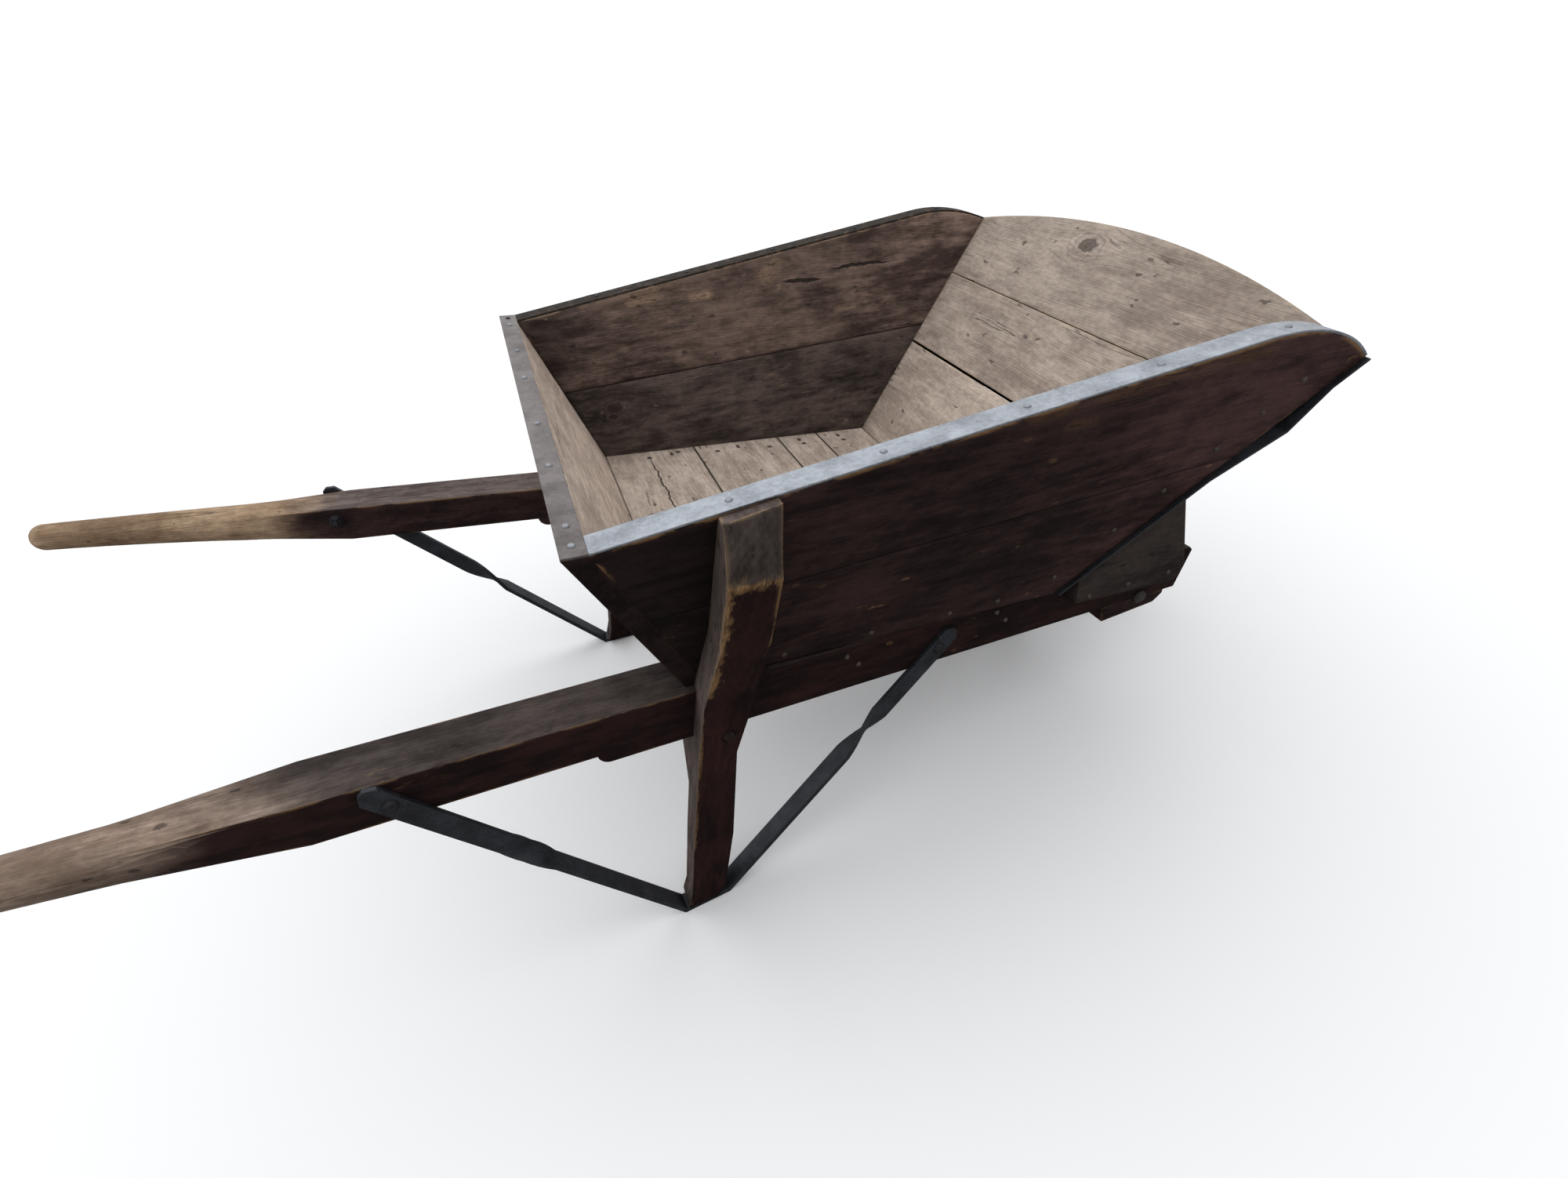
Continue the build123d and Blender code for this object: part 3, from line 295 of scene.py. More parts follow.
class Board(Shader):
    """Material of one weathered board: its grain, and the marks that follow the grain."""

    def __init__(self, name, along, across, seed, knots):
        super().__init__(name)
        along = along.normalized()
        through = along.cross(across).normalized()
        self.turn = Matrix((along, through.cross(along), through))
        turning = {"Vector": self.place, "Rotation": self.turn.to_euler()}
        self.board = self.node("ShaderNodeMapping", {}, turning).outputs["Vector"]
        self.seed = seed
        self.shift = Vector([seed * part for part in SEED_SHIFT])
        self.grain = self.vector("ADD", self.board, self.shift)
        wave = self.noise_node(self.grain, WAVE_NOISE).outputs["Color"]
        wave = self.vector("SUBTRACT", wave, (0.5, 0.5, 0.5))
        wave = self.vector("MULTIPLY", wave, (0, GRAIN_WAVE, GRAIN_WAVE))
        self.waved = self.vector("ADD", self.grain, wave)
        self.knot_heart, self.knot_rings = self.lay_knots(knots)
        self.ring = self.growth_rings()
        self.fibre = self.noise(self.waved, FIBRE_NOISE)
        self.coarse = self.noise(self.waved, COARSE_NOISE)
        self.patina = self.noise(self.grain, PATINA_NOISE)
        self.blotch = self.noise(self.grain, BLOTCH_NOISE)
        self.mottle = self.noise(self.grain, MOTTLE_NOISE)

    def lay_knots(self, knots):
        """Dark hearts of the knots and the rings round them; the grain flows past on both sides."""
        heart = 0.0
        rings = 0.0
        for spot, size, depth in knots:
            heart_band = [size * share for share in KNOT_HEART]
            halo_band = [size * share for share in KNOT_HALO]
            offset = self.vector("SUBTRACT", self.board, self.turn @ spot)
            offset = self.vector("MULTIPLY", offset, (KNOT_STRETCH, 1, 1))
            ripple = self.noise(self.board, KNOT_NOISE)
            reach = self.ragged(self.vector("LENGTH", offset), ripple, size * KNOT_RAGGED)
            heart = self.math("MAXIMUM", heart, self.step(reach, heart_band, (depth, 0.0)))
            halo = self.step(reach, halo_band, (depth * KNOT_HALO_DEPTH, 0.0))
            ring = self.math("SINE", self.math("MULTIPLY", reach, KNOT_RING_RADIANS / size))
            ring = self.math("MULTIPLY", halo, self.step(ring, KNOT_RING_BAND))
            rings = self.math("MAXIMUM", rings, ring)
            square = self.math("POWER", self.math("DIVIDE", reach, halo_band[1]), 2.0)
            near = self.math("POWER", math.e, self.math("MULTIPLY", square, -1.0))
            push = self.math("MULTIPLY", self.split(offset)["Y"], KNOT_PUSH)
            push = self.math("MULTIPLY", near, push)
            aside = self.node("ShaderNodeCombineXYZ", {}, {"Y": push}).outputs[0]
            self.waved = self.vector("SUBTRACT", self.waved, aside)
        return heart, rings

    def growth_rings(self):
        across_sway, deep_sway, lean_sway = (math.sin(self.seed * phase) for phase in PITH_PHASES)
        pith_y = self.shift.y + PITH_SWAY_ACROSS * across_sway
        pith_z = self.shift.z - PITH_DEPTH - PITH_SWAY_DEEP * deep_sway
        axis = self.split(self.waved)
        lean = self.math("MULTIPLY", axis["X"], PITH_LEAN + PITH_LEAN_SWAY * lean_sway)
        y = self.math("ADD", self.math("SUBTRACT", axis["Y"], pith_y), lean)
        z = self.math("SUBTRACT", self.math("SUBTRACT", axis["Z"], pith_z), lean)
        squares = self.math("ADD", self.math("MULTIPLY", y, y), self.math("MULTIPLY", z, z))
        radius = self.math("SQRT", squares)
        return self.step(self.math("SINE", self.math("MULTIPLY", radius, RING_RADIANS)), RING_BAND)

    def checks(self, cracks):
        """Fine checks in some areas, and long cracks that are widest in the middle."""
        field = self.noise(self.waved, CHECK_NOISE)
        line = self.step(self.math("ABSOLUTE", self.math("SUBTRACT", field, 0.5)), CHECK_BAND, FADE_OUT)
        area = self.step(self.noise(self.grain, CHECK_AREA_NOISE), CHECK_AREA_BAND)
        check = self.math("MULTIPLY", line, area)
        for start, end, width in cracks:
            first = self.turn @ start
            run = (self.turn @ end) - first
            apart = self.split(self.vector("SUBTRACT", self.board, first))
            aside = self.math("SUBTRACT", apart["Y"], self.math("MULTIPLY", apart["X"], run.y / run.x))
            aside = self.ragged(aside, self.noise(self.board, CRACK_NOISE), CRACK_WOBBLE)
            share = self.math("DIVIDE", apart["X"], run.x)
            closing = self.step(share, CRACK_END, (width, 0.0))
            opening = self.math("MULTIPLY", self.step(share, CRACK_START), closing)
            opening = self.math("ADD", opening, LEAST_OPENING)
            across = self.math("DIVIDE", self.math("ABSOLUTE", aside), opening)
            check = self.math("MAXIMUM", check, self.step(across, CRACK_BAND, FADE_OUT))
        return check

    def dents(self):
        """Small dark pits and pale chips, each cell of a pattern with its own chance."""
        coords = self.vector("MULTIPLY", self.waved, DENT_CELLS)
        cells = self.node("ShaderNodeTexVoronoi", {}, {"Vector": coords, "Scale": 1.0}).outputs
        chance = self.node("ShaderNodeSeparateColor", {}, {0: cells["Color"]}).outputs
        reach = self.ragged(cells["Distance"], self.mottle, DENT_RAGGED)
        pit = self.step(reach, PIT_SIZE, FADE_OUT)
        pit = self.math("MULTIPLY", pit, self.step(chance[0], PIT_CHANCE))
        chip = self.step(reach, CHIP_SIZE, FADE_OUT)
        chip = self.math("MULTIPLY", chip, self.step(chance[1], CHIP_CHANCE))
        return pit, chip

    def change_finish(self, share, own, other):
        """The three colours of a finish, changed to those of another by a share."""
        return tuple(self.mix(share, a, b) for a, b in zip(own, other))

    def place_finishes(self, finish, faced, tip, grip):
        """The board's own finish, with others on some faces, past a point and on the grip."""
        if faced:
            other, direction = faced
            finish = self.change_finish(self.facing(direction, FACED_BAND), finish, other)
        if tip:
            other, direction, point, way = tip
            beyond = self.ragged(self.past(point, way), self.blotch, TIP_WOBBLE)
            share = self.facing(direction, TIP_FACED_BAND)
            share = self.math("MULTIPLY", share, self.step(beyond, TIP_BAND))
            finish = self.change_finish(share, finish, other)
        if grip:
            other, start, end, lead = grip
            reach = self.ragged(self.split(self.board)["X"], self.patina, GRIP_WOBBLE)
            lead_on_top = self.math("MULTIPLY", self.facing(BED_Z, GRIP_TOP_BAND), lead)
            held = self.step(self.math("ADD", reach, lead_on_top), (start, end))
            finish = self.change_finish(held, finish, other)
        return finish

    def grain_colour(self, dark, light, painted_light_and_shade):
        """Tones of the grain, with stains and with the painted light and shade given."""
        tone = self.weighted_sum((self.patina, 0.45), (self.coarse, 0.45), (self.blotch, 0.35))
        colour = self.mix(self.step(tone, TONE_BAND), dark, light)
        colour = self.shade(colour, self.step(self.ring, (0.0, 1.0), RING_TONES))
        colour = self.shade(colour, self.step(self.fibre, FIBRE_BAND, FIBRE_TONES))
        colour = self.shade(colour, self.step(self.mottle, MOTTLE_BAND, MOTTLE_TONES))
        stain = self.step(self.noise(self.grain, STAIN_NOISE), STAIN_BAND)
        colour = self.mix(self.math("MULTIPLY", stain, STAIN_STRENGTH), colour, dark)
        # Painted shade and painted light: darker or lighter past a line on the board
        for point, into, painted_tone, softness in painted_light_and_shade:
            depth = self.ragged(self.past(point, into), self.patina, PAINTED_SHADE_WOBBLE)
            colour = self.shade(colour, self.step(depth, (-softness, softness), (1.0, painted_tone)))
        return colour

    def edge_wear(self, edge, rough_edge, worn_past):
        """How worn the edges are, on the whole board or past a point."""
        worn = self.math("MULTIPLY", edge, self.step(rough_edge, ROUGH_EDGE_BAND))
        worn = self.step(worn, EDGE_WEAR_BAND)
        if worn_past:
            worn = self.math("MULTIPLY", worn, self.step(self.past(*worn_past), WORN_PAST_BAND))
        return worn

    def bare_wood(self, edge_wear, chip, scuffs):
        """Where the finish is gone: on edges, in smudges along the grain, in chips and in scuffs."""
        smudge = self.step(self.noise(self.waved, SMUDGE_NOISE), SMUDGE_BAND)
        area = self.step(self.noise(self.grain, SMUDGE_AREA_NOISE), SMUDGE_AREA_BAND)
        smudge = self.math("MULTIPLY", self.math("MULTIPLY", smudge, area), SMUDGE_STRENGTH)
        bare = self.math("MAXIMUM", self.math("MULTIPLY", edge_wear, EDGE_STRENGTH), smudge)
        bare = self.math("MAXIMUM", bare, self.math("MULTIPLY", chip, CHIP_STRENGTH))
        fray = self.math("ADD", self.math("ADD", self.blotch, self.coarse), self.mottle)
        fray = self.math("SUBTRACT", fray, FRAY_MEAN)
        speckle = self.step(self.math("ADD", self.fibre, self.mottle), SPECKLE_BAND, SPECKLE_SHARES)
        for start, end, width, strength in scuffs:
            run = end - start
            from_start = self.vector("SUBTRACT", self.place, start)
            along = self.vector("DOT_PRODUCT", from_start, run)
            share = self.math("DIVIDE", along, run.dot(run), clamp=True)
            nearest = self.node("ShaderNodeVectorMath", {"operation": "SCALE"}, {0: run, "Scale": share})
            apart = self.vector("LENGTH", self.vector("SUBTRACT", from_start, nearest.outputs["Vector"]))
            apart = self.math("ADD", apart, self.math("MULTIPLY", fray, width * SCUFF_FRAY))
            rubbed = self.step(apart, (0.0, width), (strength, 0.0))
            bare = self.math("MAXIMUM", bare, self.math("MULTIPLY", rubbed, speckle))
        return bare


def wood(
    name,
    along,
    across,
    seed,
    finish,
    faced=None,
    tip=None,
    grip=None,
    knots=(),
    cracks=(),
    painted_light_and_shade=(),
    scuffs=(),
    wear=1.0,
    edge_width=0.006,
    worn_past=None,
    dirt=0.0,
):
    """Weathered board with growth rings, fibres, checks, dents, stains and worn edges along its own grain,
    and painted shade in its corners.

    faced is (finish, direction) of the faces that look along a direction.
    tip is (finish, facing, point, direction) of such faces past a point.
    grip is (finish, start, end, lead) of the bare grip along the grain, which leads on its upper face.
    knots are (place, size, depth), and cracks (start, end, width).
    painted light and shade are (point on the edge, direction into the painted area, tone below one for
    shade and above one for light, softness).
    scuffs are (start, end, width, strength).
    wear is the strength of all bare wood, and edge_width the reach of worn edges.
    worn_past is (point, direction) past which edges are worn.
    dirt is how dark the edges are.
    """
    board = Board(name, along, across, seed, knots)
    check = board.checks(cracks)
    pit, chip = board.dents()
    dark, light, worn = board.place_finishes(finish, faced, tip, grip)
    colour = board.grain_colour(dark, light, painted_light_and_shade)
    rounded, edge = board.edges(edge_width)
    rough_edge = board.noise(board.grain, EDGE_NOISE)
    edge_wear = board.edge_wear(edge, rough_edge, worn_past)
    bare = board.bare_wood(edge_wear, chip, scuffs)
    colour = board.mix(board.math("MULTIPLY", bare, wear, clamp=True), colour, worn)
    if knots:
        colour = board.mix(board.knot_rings, colour, KNOT)
        colour = board.mix(board.knot_heart, colour, KNOT)
    if dirt:
        colour = board.mix(board.math("MULTIPLY", board.step(edge, DIRT_BAND), dirt), colour, CRACK)
    colour = board.mix(board.math("MULTIPLY", pit, PIT_STRENGTH), colour, CRACK)
    colour = board.mix(board.math("MULTIPLY", check, CHECK_STRENGTH), colour, CRACK)
    # Painted shade in the corners
    colour = board.paint_corner_shade(colour, CORNER_REACH, CORNER_BAND, CORNER_TONE)
    rough_fibre = board.math("MULTIPLY", board.fibre, WOOD_ROUGH_FIBRE)
    height = board.weighted_sum(
        (board.fibre, 0.5),
        (board.coarse, 0.9),
        (board.mottle, 0.4),
        (check, -1.3),
        (pit, -1.3),
        (board.ring, -0.10),
        (board.math("MULTIPLY", edge_wear, rough_edge), -1.2),
    )
    board.set_surface({
        "Base Color": colour,
        "Roughness": board.math("ADD", WOOD_ROUGH, rough_fibre, clamp=True),
        "Specular IOR Level": WOOD_SHINE,
        "Normal": board.bump(height, WOOD_BUMP, WOOD_DEPTH, rounded),
    })
    return board.material


# Old metal: noise as a factor on the cycles given, detail and roughness; then bounds, strengths and sizes
CLOUD_NOISE = (1, 5.0, 0.6)
FINE_NOISE = (9, 4.0, 0.65)
RUST_NOISE = (1.7, 6.0, 0.7)
METAL_SHIFT = (0.37, 0.91, 0.23)
METAL_TONE_BAND = (0.35, 0.75)
METAL_EDGE = 0.002
BRIGHT_FINE_BAND = (0.35, 0.65)
BRIGHT_BAND = (0.02, 0.2)
BRIGHT_STRENGTH = 0.5
# Painted shade in the corners of the metal
METAL_CORNER_REACH = 0.02
METAL_CORNER_BAND = (0.2, 0.8)
METAL_CORNER_TONE = 0.5
DARK_PAST_BAND = (0.0, 0.01)
METAL_ROUGH_FINE = 0.3
METAL_BUMP = 0.45
METAL_DEPTH = 0.001


def metal(name, dark, light, rust, rust_band, metallic, rough, cycles, seed, shine=0.5, dark_past=None):
    """Old sheet or bar: cloudy tone, rust patches, dents, bright worn edges, and painted shade in corners.

    rust_band has the bounds between which rust sets in; cycles are those of the clouds, per metre.
    dark_past is (point, direction, tone) past which the metal is darker.
    """
    sheet = Shader(name)
    place = sheet.vector("ADD", sheet.place, [seed * part for part in METAL_SHIFT])

    def metal_noise(factor, detail, roughness):
        return sheet.noise(place, ([cycles * factor] * 3, detail, roughness))

    cloud = metal_noise(*CLOUD_NOISE)
    fine = metal_noise(*FINE_NOISE)
    rusted = sheet.step(metal_noise(*RUST_NOISE), rust_band)
    tone = sheet.weighted_sum((cloud, 0.7), (fine, 0.4))
    colour = sheet.mix(sheet.step(tone, METAL_TONE_BAND), dark, light)
    colour = sheet.mix(rusted, colour, rust)
    rounded, edge = sheet.edges(METAL_EDGE)
    bright = sheet.math("MULTIPLY", edge, sheet.step(fine, BRIGHT_FINE_BAND))
    bright = sheet.math("MULTIPLY", sheet.step(bright, BRIGHT_BAND), BRIGHT_STRENGTH)
    colour = sheet.mix(bright, colour, light)
    # Painted shade in the corners
    colour = sheet.paint_corner_shade(colour, METAL_CORNER_REACH, METAL_CORNER_BAND, METAL_CORNER_TONE)
    if dark_past:
        point, direction, dark_tone = dark_past
        beyond = sheet.past(point, direction)
        colour = sheet.shade(colour, sheet.step(beyond, DARK_PAST_BAND, (1.0, dark_tone)))
    height = sheet.weighted_sum((cloud, 2.0), (fine, 0.35), (rusted, 0.35))
    rough_fine = sheet.math("MULTIPLY", fine, METAL_ROUGH_FINE)
    sheet.set_surface({
        "Base Color": colour,
        "Metallic": sheet.step(rusted, (0.0, 1.0), (metallic, 0.0)),
        "Roughness": sheet.math("ADD", rough, rough_fine, clamp=True),
        "Specular IOR Level": shine,
        "Normal": sheet.bump(height, METAL_BUMP, METAL_DEPTH, rounded),
    })
    return sheet.material


def dress(material, *names):
    for name in names:
        slots = nodes[name].data.materials
        slots.clear()
        slots.append(material)


# Knots, cracks, painted light and shade, and scuffs of single boards
KNOTS = {
    "front_board_upper": ((bed_point(658, 61, 303), 0.015, 0.62),),
    "side_left_lower": (
        (bed_point(26, 270, 67), 0.010, 0.75),
        (bed_point(21, 267, 54), 0.006, 0.8),
    ),
}
CRACKS = {
    "floor_board_rear": ((bed_point(64, 250, 0), bed_point(62, -40, 0), 0.0015),),
    "side_left_upper": (
        (bed_point(378, 310, 236), bed_point(490, 306, 243), 0.0030),
        (bed_point(300, 308, 222), bed_point(372, 305, 222), 0.0036),
    ),
}
# Painted shade at the rear ends of the side walls. On the far wall there is painted light, then the
# painted shadow that the front boards cast in the corner. On the near wall there is painted shade behind
# the leg and painted light towards the front.
PAINTED_SHADE_REAR_END = (bed_point(-15, 300, 150), bed_direction(-1, 0, 0.25), 0.6, 0.06)
PAINTED_LIGHT_FAR_FRONT = (bed_point(440, 300, 200), BED_X, 1.4, 0.05)
PAINTED_SHADOW_CORNER_WEDGE = (bed_point(550, 298, 225), bed_direction(0.53, 0, -0.848), 0.74, 0.008)
PAINTED_SHADE_BEHIND_LEG = (bed_point(20, -300, 100), bed_direction(-1, 0, 0), 0.45, 0.01)
PAINTED_LIGHT_FRONT_END = (bed_point(450, -300, 100), bed_direction(1, 0, 0.3), 1.85, 0.13)
PAINTED_LIGHT_AND_SHADE = {
    "side_left_lower": (PAINTED_SHADE_REAR_END,),
    "side_left_upper": (PAINTED_LIGHT_FAR_FRONT, PAINTED_SHADOW_CORNER_WEDGE, PAINTED_SHADE_REAR_END),
    "side_right_lower": (PAINTED_SHADE_BEHIND_LEG, PAINTED_LIGHT_FRONT_END),
    "side_right_upper": (PAINTED_SHADE_BEHIND_LEG, PAINTED_LIGHT_FRONT_END),
}
SCUFFS = {
    "side_left_upper": (
        (bed_point(160, 310, 209), bed_point(186, 310, 211), 0.008, 0.7),
        (bed_point(70, 314, 205), bed_point(118, 314, 213), 0.009, 0.5),
        (bed_point(278, 314, 232), bed_point(296, 315, 246), 0.018, 0.45),
        (bed_point(0, 315, 204), bed_point(330, 330, 262), 0.007, 0.45),
        (bed_point(390, 290, 178), bed_point(420, 290, 181), 0.006, 0.5),
    ),
    "side_right_upper": (
        (bed_point(300, -350, 254), bed_point(560, -350, 294), 0.010, 0.16),
        (bed_point(350, -345, 240), bed_point(372, -345, 243), 0.012, 0.14),
    ),
}

# Floor, front and tail of the tray, pale inside and dark outside; each board's pale tone is partly its own
# and partly painted light
FLOOR_SEED = 1.3
FRONT_SEED = 6.1
TAIL_SEED = 10.4
# Tones of each pale board, partly its own tone and partly painted light
FLOOR_TONES = {
    "floor_board_rear": 1.06,
    "floor_board_middle": 1.08,
    "floor_board_narrow": 1.10,
    "floor_board_front": 1.08,
}
FRONT_TONES = {"front_board_lower": 1.10, "front_board_middle": 0.92, "front_board_upper": 0.84}
# Painted shade on the tail's outside and painted light on its inside
TAIL_OUTSIDE_PAINTED_SHADE = tint(DARK_WOOD, 0.55)
TAIL_INSIDE_PAINTED_LIGHT = tint(LIGHT_WOOD, 1.34)
front_up = bed_direction(math.sin(FRONT_LEAN), 0, math.cos(FRONT_LEAN))
front_in = bed_direction(-math.cos(FRONT_LEAN), 0, math.sin(FRONT_LEAN))
tail_up = bed_direction(-math.sin(TAIL_LEAN), 0, math.cos(TAIL_LEAN))
tail_in = bed_direction(math.cos(TAIL_LEAN), 0, math.sin(TAIL_LEAN))
for i, (name, tone) in enumerate(FLOOR_TONES.items()):
    floor_wood = wood(
        name,
        BED_Y,
        BED_X,
        FLOOR_SEED + i,
        DARK_WOOD,
        faced=(tint(LIGHT_WOOD, tone), BED_Z),
        cracks=CRACKS.get(name, ()),
        wear=0.4,
        edge_width=0.004,
        dirt=0.85,
    )
    dress(floor_wood, name)
for i, (name, tone) in enumerate(FRONT_TONES.items()):
    front_wood = wood(
        name,
        BED_Y,
        front_up,
        FRONT_SEED + i,
        DARK_WOOD,
        faced=(tint(LIGHT_WOOD, tone), front_in),
        knots=KNOTS.get(name, ()),
    )
    dress(front_wood, name)
tail_faced = (TAIL_INSIDE_PAINTED_LIGHT, tail_in)
tail_wood = wood("tailboard", BED_Y, tail_up, TAIL_SEED, TAIL_OUTSIDE_PAINTED_SHADE, faced=tail_faced, wear=0.12)
dress(tail_wood, "tailboard")

# Side walls, dark outside and brown inside
SIDE_SEED = 12.2
SIDE_SEED_STEP = 3
SIDE_INSIDE = {"lower": SHADE_WOOD, "upper": BROWN_WOOD}
SIDE_WORN_PAST = (bed_point(0, 0, 150), BED_Z)
for hand, sign in HANDS:
    side_along = bed_direction(math.cos(SEAM_RISE), -sign * math.sin(SIDE_TAPER), math.sin(SEAM_RISE))
    side_up = bed_direction(-math.sin(SEAM_RISE), sign * math.sin(SIDE_FLARE), math.cos(SIDE_FLARE))
    side_in = bed_direction(0, -sign * math.cos(SIDE_FLARE), math.sin(SIDE_FLARE))
    for i, (level, inside) in enumerate(SIDE_INSIDE.items()):
        name = f"side_{hand}_{level}"
        side_wood = wood(
            name,
            side_along,
            side_up,
            SIDE_SEED + i + SIDE_SEED_STEP * sign,
            DARK_WOOD,
            faced=(inside, side_in),
            knots=KNOTS.get(name, ()),
            cracks=CRACKS.get(name, ()),
            painted_light_and_shade=PAINTED_LIGHT_AND_SHADE[name],
            scuffs=SCUFFS.get(name, ()),
            edge_width=0.009,
            worn_past=SIDE_WORN_PAST,
        )
        dress(side_wood, name)

# Beams; each grip turns bare between two places along the bed, and on top further forward by a lead
BEAM_SEED = 20.5
GRIP_ZONE = {"right": (-435, -600), "left": (-410, -510)}
GRIP_SIDE = 320
GRIP_HEIGHT = -50
GRIP_LEAD = {"right": 0.11, "left": 0.05}
BEAM_TOP = {"right": tint(GREY_WOOD, 0.62), "left": tint(GREY_WOOD, 1.3)}
BEAM_SIDE = {"right": BEAM_WOOD, "left": tint(DARK_WOOD, 1.1)}
BEAM_WORN_PAST = (bed_point(10, 0, 0), -BED_X)

# Legs; their rear faces and the bevel at the top are painted lighter grey as painted light; their scuffs
# run along the rear edge and below the bevel
LEG_SEED = 25.5
LEG_LIT_SIDE = bed_direction(-0.8, 0, 0.6)
LEG_BEVEL = bed_point(0, 0, 152)
LEG_WORN_PAST = (bed_point(0, 0, 40), BED_Z)

# Cheeks, bearing blocks and cross rails
CHEEK_SEED = 30.5
BEARING_SEED = 34.5
RAIL_SEED = 38.2
CHEEK_WOOD = tint(GREY_WOOD, 0.36)


def leg_scuffs(sign):
    return (
        (bed_point(12, sign * 370, 152), bed_point(12, sign * 342, 65), 0.008, 0.9),
        (bed_point(12, sign * 342, 65), bed_point(4, sign * 320, -5), 0.007, 0.75),
        (bed_point(12, sign * 371, 151), bed_point(61, sign * 369, 150), 0.009, 0.7),
        (bed_point(-2, sign * 311, -40), bed_point(-18, sign * 302, -250), 0.003, 0.45),
    )


for hand, sign in HANDS:
    beam_along = bed_direction(-1, sign * math.tan(BEAM_TAPER), 0)
    grip_points = [bed_point(x, sign * GRIP_SIDE, GRIP_HEIGHT) for x in GRIP_ZONE[hand]]
    grip_start, grip_end = (beam_along.normalized().dot(point) for point in grip_points)
    beam_wood = wood(
        f"beam_{hand}",
        beam_along,
        BED_Z,
        BEAM_SEED + sign,
        BEAM_SIDE[hand],
        faced=(BEAM_TOP[hand], BED_Z),
        grip=(GRIP_WOOD[hand], grip_start, grip_end, GRIP_LEAD[hand]),
        wear=0.6,
        worn_past=BEAM_WORN_PAST,
    )
    dress(beam_wood, f"beam_{hand}")
    leg_wood = wood(
        f"leg_{hand}",
        bed_direction(0.11, sign * 0.1, 1),
        BED_X,
        LEG_SEED + sign,
        LEG_WOOD,
        # Painted light: grey on the rear faces and on the top bevel
        faced=(GREY_WOOD, LEG_LIT_SIDE),
        tip=(tint(GREY_WOOD, 0.5), bed_direction(0, sign, 0), LEG_BEVEL, BED_Z),
        scuffs=leg_scuffs(sign),
        edge_width=0.008,
        worn_past=LEG_WORN_PAST,
    )
    dress(leg_wood, f"leg_{hand}")
    cheek_wood = wood(
        f"cheek_{hand}",
        beam_along,
        BED_Z,
        CHEEK_SEED + sign,
        CHEEK_WOOD,
        faced=(GREY_WOOD, BED_Z),
        wear=0.2,
    )
    dress(cheek_wood, f"cheek_{hand}")
    block_wood = wood(f"bearing_{hand}", beam_along, BED_Z, BEARING_SEED + sign, DARK_WOOD, wear=0.3)
    dress(block_wood, f"bearing_{hand}")
for i, name in enumerate(("cross_rail_rear", "cross_rail_front")):
    dress(wood(name, BED_Y, BED_X, RAIL_SEED + i, DARK_WOOD), name)

# Zinc on the rims; the far rim and its nails have gone dark
ZINC_RUST = (0.2, 0.13, 0.09)
FAR_RIM = (bed_point(0, 300, 200), BED_Y, 0.12)
zinc_side = metal(
    "zinc_side",
    dark=(0.24, 0.255, 0.28),
    light=(0.50, 0.525, 0.56),
    rust=ZINC_RUST,
    rust_band=(0.72, 0.80),
    metallic=0.75,
    rough=0.38,
    cycles=26,
    seed=1,
)
dress(zinc_side, "side_strip_right")
zinc_tail = metal(
    "zinc_tail",
    dark=(0.105, 0.091, 0.083),
    light=(0.25, 0.222, 0.212),
    rust=ZINC_RUST,
    rust_band=(0.66, 0.76),
    metallic=0.6,
    rough=0.45,
    cycles=26,
    seed=2,
)
dress(zinc_tail, "tail_strip")
zinc_nails = metal(
    "zinc_nails",
    dark=(0.22, 0.225, 0.24),
    light=(0.44, 0.455, 0.48),
    rust=ZINC_RUST,
    rust_band=(0.70, 0.80),
    metallic=0.7,
    rough=0.4,
    cycles=90,
    seed=6,
    dark_past=FAR_RIM,
)
dress(zinc_nails, "strip_nails")
black_zinc = metal(
    "black_zinc",
    dark=(0.012, 0.009, 0.007),
    light=(0.04, 0.031, 0.024),
    rust=(0.11, 0.068, 0.044),
    rust_band=(0.50, 0.68),
    metallic=0.0,
    rough=0.6,
    cycles=60,
    seed=9,
    shine=0.12,
)
dress(black_zinc, "side_strip_left")

# Iron of the straps, the wheel, the bolts and the nails
BOLT_RUST = (0.06, 0.032, 0.02)
strap_iron = metal(
    "strap_iron",
    dark=(0.011, 0.012, 0.015),
    light=(0.042, 0.045, 0.055),
    rust=(0.07, 0.035, 0.02),
    rust_band=(0.60, 0.74),
    metallic=0.35,
    rough=0.4,
    cycles=40,
    seed=3,
)
dress(strap_iron, "brace_right", "brace_left", "edge_strap_right", "edge_strap_left")
wheel_iron = metal(
    "wheel_iron",
    dark=(0.03, 0.024, 0.02),
    light=(0.11, 0.09, 0.08),
    rust=(0.12, 0.055, 0.028),
    rust_band=(0.48, 0.64),
    metallic=0.5,
    rough=0.5,
    cycles=45,
    seed=4,
)
dress(wheel_iron, "tyre", "spokes")
hub_iron = metal(
    "hub_iron",
    dark=(0.022, 0.019, 0.018),
    light=(0.075, 0.066, 0.06),
    rust=(0.09, 0.045, 0.026),
    rust_band=(0.52, 0.68),
    metallic=0.4,
    rough=0.5,
    cycles=60,
    seed=5,
)
dress(hub_iron, "hub", "collars", "axle")
old_nails = metal(
    "old_nails",
    dark=(0.035, 0.03, 0.028),
    light=(0.11, 0.10, 0.095),
    rust=(0.11, 0.055, 0.03),
    rust_band=(0.48, 0.62),
    metallic=0.3,
    rough=0.5,
    cycles=150,
    seed=7,
)
dress(old_nails, "floor_nails", "side_nails", "tail_nails", "front_nails", "cheek_nails", "rail_nails")
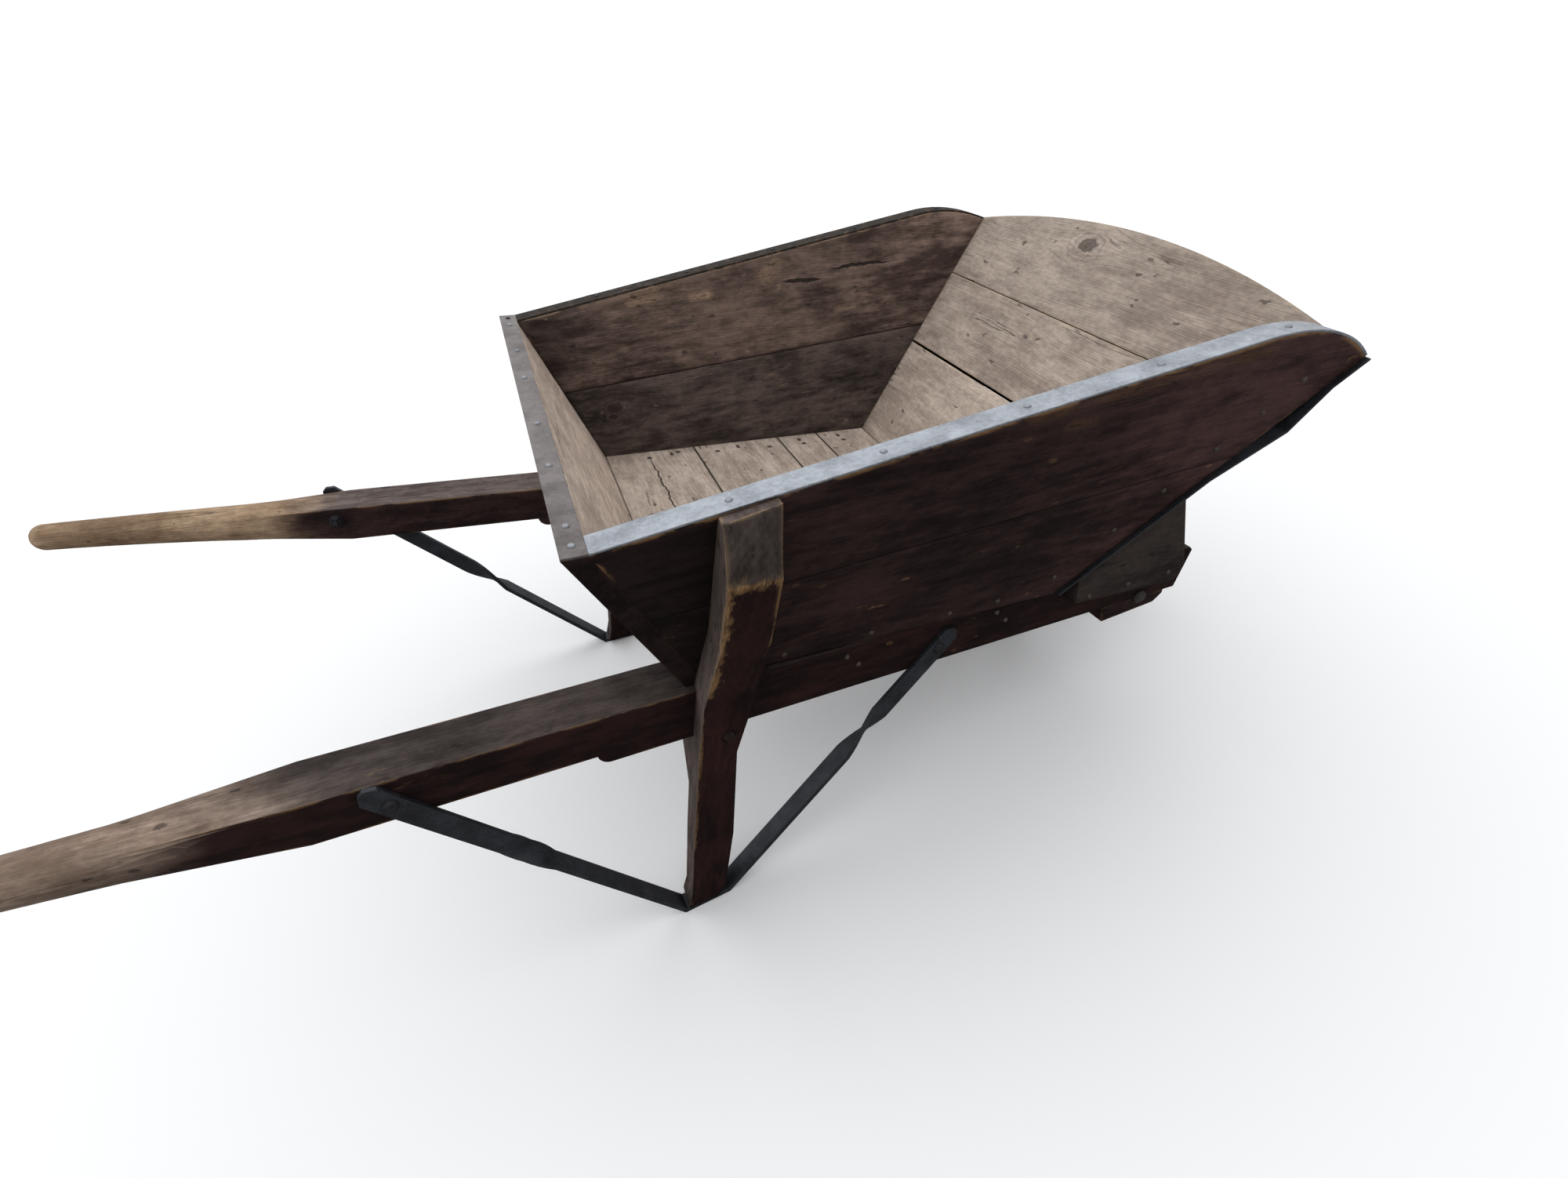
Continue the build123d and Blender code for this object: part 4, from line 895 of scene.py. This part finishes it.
bolt_iron = metal(
    "bolt_iron",
    dark=(0.010, 0.010, 0.012),
    light=(0.040, 0.040, 0.045),
    rust=BOLT_RUST,
    rust_band=(0.56, 0.70),
    metallic=0.3,
    rough=0.5,
    cycles=130,
    seed=8,
    shine=0.3,
)
dress(bolt_iron, "leg_nuts", "brace_bolts", "brace_nuts", "bearing_bolts", "bearing_nuts")
dress(bolt_iron, "hub_pin", "collar_pins")
leg_iron = metal(
    "leg_iron",
    dark=(0.008, 0.0045, 0.0042),
    light=(0.030, 0.018, 0.016),
    rust=BOLT_RUST,
    rust_band=(0.62, 0.74),
    metallic=0.0,
    rough=0.6,
    cycles=130,
    seed=10,
    shine=0.15,
)
dress(leg_iron, "leg_bolts")

# Floor: white to the camera, darker in the light that it throws back
EXTENT = 40.0
FLOOR_SEEN = (0.97, 0.96, 0.945)
FLOOR_THROWN = (0.24, 0.23, 0.22)
floor_mesh = bpy.data.meshes.new("floor")
corners = [(-EXTENT, -EXTENT, 0), (EXTENT, -EXTENT, 0), (EXTENT, EXTENT, 0), (-EXTENT, EXTENT, 0)]
floor_mesh.from_pydata(corners, [], [(0, 1, 2, 3)])
floor = bpy.data.objects.new("floor", floor_mesh)
bpy.context.scene.collection.objects.link(floor)
pale = Shader("pale_floor")
seen = pale.node("ShaderNodeLightPath").outputs["Is Camera Ray"]
pale.set_surface({
    "Base Color": pale.mix(seen, FLOOR_THROWN, FLOOR_SEEN),
    "Roughness": 0.9,
    "Specular IOR Level": 0.1,
})
floor_mesh.materials.append(pale.material)

# A white backdrop, and a soft sky that is brightest high over the far side and a little behind
WHITE = (1, 1, 1, 1)
SKY_COLOUR = (0.95, 0.97, 1.0, 1)
SKY_LOW = 0.70
SKY_HIGH = 1.45
SKY_FROM = Vector((-0.15, 0.40, 0.90))
scene = bpy.context.scene
world = bpy.data.worlds.new("studio")
scene.world = world
world.use_nodes = True
light = Nodes(world.node_tree)
toward = light.node("ShaderNodeTexCoord").outputs["Generated"]
height = light.vector("DOT_PRODUCT", toward, SKY_FROM.normalized())
glow_range = {"Value": height, "From Min": 0.0, "From Max": 1.0, "To Min": SKY_LOW, "To Max": SKY_HIGH}
glow = light.node("ShaderNodeMapRange", {}, glow_range).outputs["Result"]
sky = light.node("ShaderNodeBackground", {}, {"Color": SKY_COLOUR, "Strength": glow}).outputs[0]
backdrop = light.node("ShaderNodeBackground", {}, {"Color": WHITE, "Strength": 1.0}).outputs[0]
by_camera = light.node("ShaderNodeLightPath").outputs["Is Camera Ray"]
shown = light.node("ShaderNodeMixShader", {}, {0: by_camera, 1: sky, 2: backdrop}).outputs[0]
light.node("ShaderNodeOutputWorld", {}, {"Surface": shown})

# Camera at the photograph's viewing angle, placed and turned in the bed frame
FOCAL_PX = 1016.916
IMAGE_WIDTH = 2000
SENSOR_WIDTH = 36
CLIP_END = 100
EYE = (-134.82, -889.46, 520.92)
YAW = 0.360823
PITCH = -0.597918
ROLL = 0.0190713
forward = Vector((math.sin(YAW) * math.cos(PITCH), math.cos(YAW) * math.cos(PITCH), math.sin(PITCH)))
level = Vector((math.cos(YAW), -math.sin(YAW), 0))
upward = level.cross(forward)
right = level * math.cos(ROLL) + upward * math.sin(ROLL)
up = upward * math.cos(ROLL) - level * math.sin(ROLL)
camera_axes = [bed_direction(*axis) for axis in (right, up, -forward)]
camera = bpy.data.cameras.new("camera")
camera.sensor_width = SENSOR_WIDTH
camera.lens = SENSOR_WIDTH * FOCAL_PX / IMAGE_WIDTH
camera.clip_end = CLIP_END
eye = bpy.data.objects.new("camera", camera)
eye_place = Matrix(camera_axes).transposed().to_4x4()
eye_place.translation = bed_point(*EYE)
eye.matrix_world = eye_place
scene.collection.objects.link(eye)
scene.camera = eye

scene.view_settings.view_transform = "Standard"
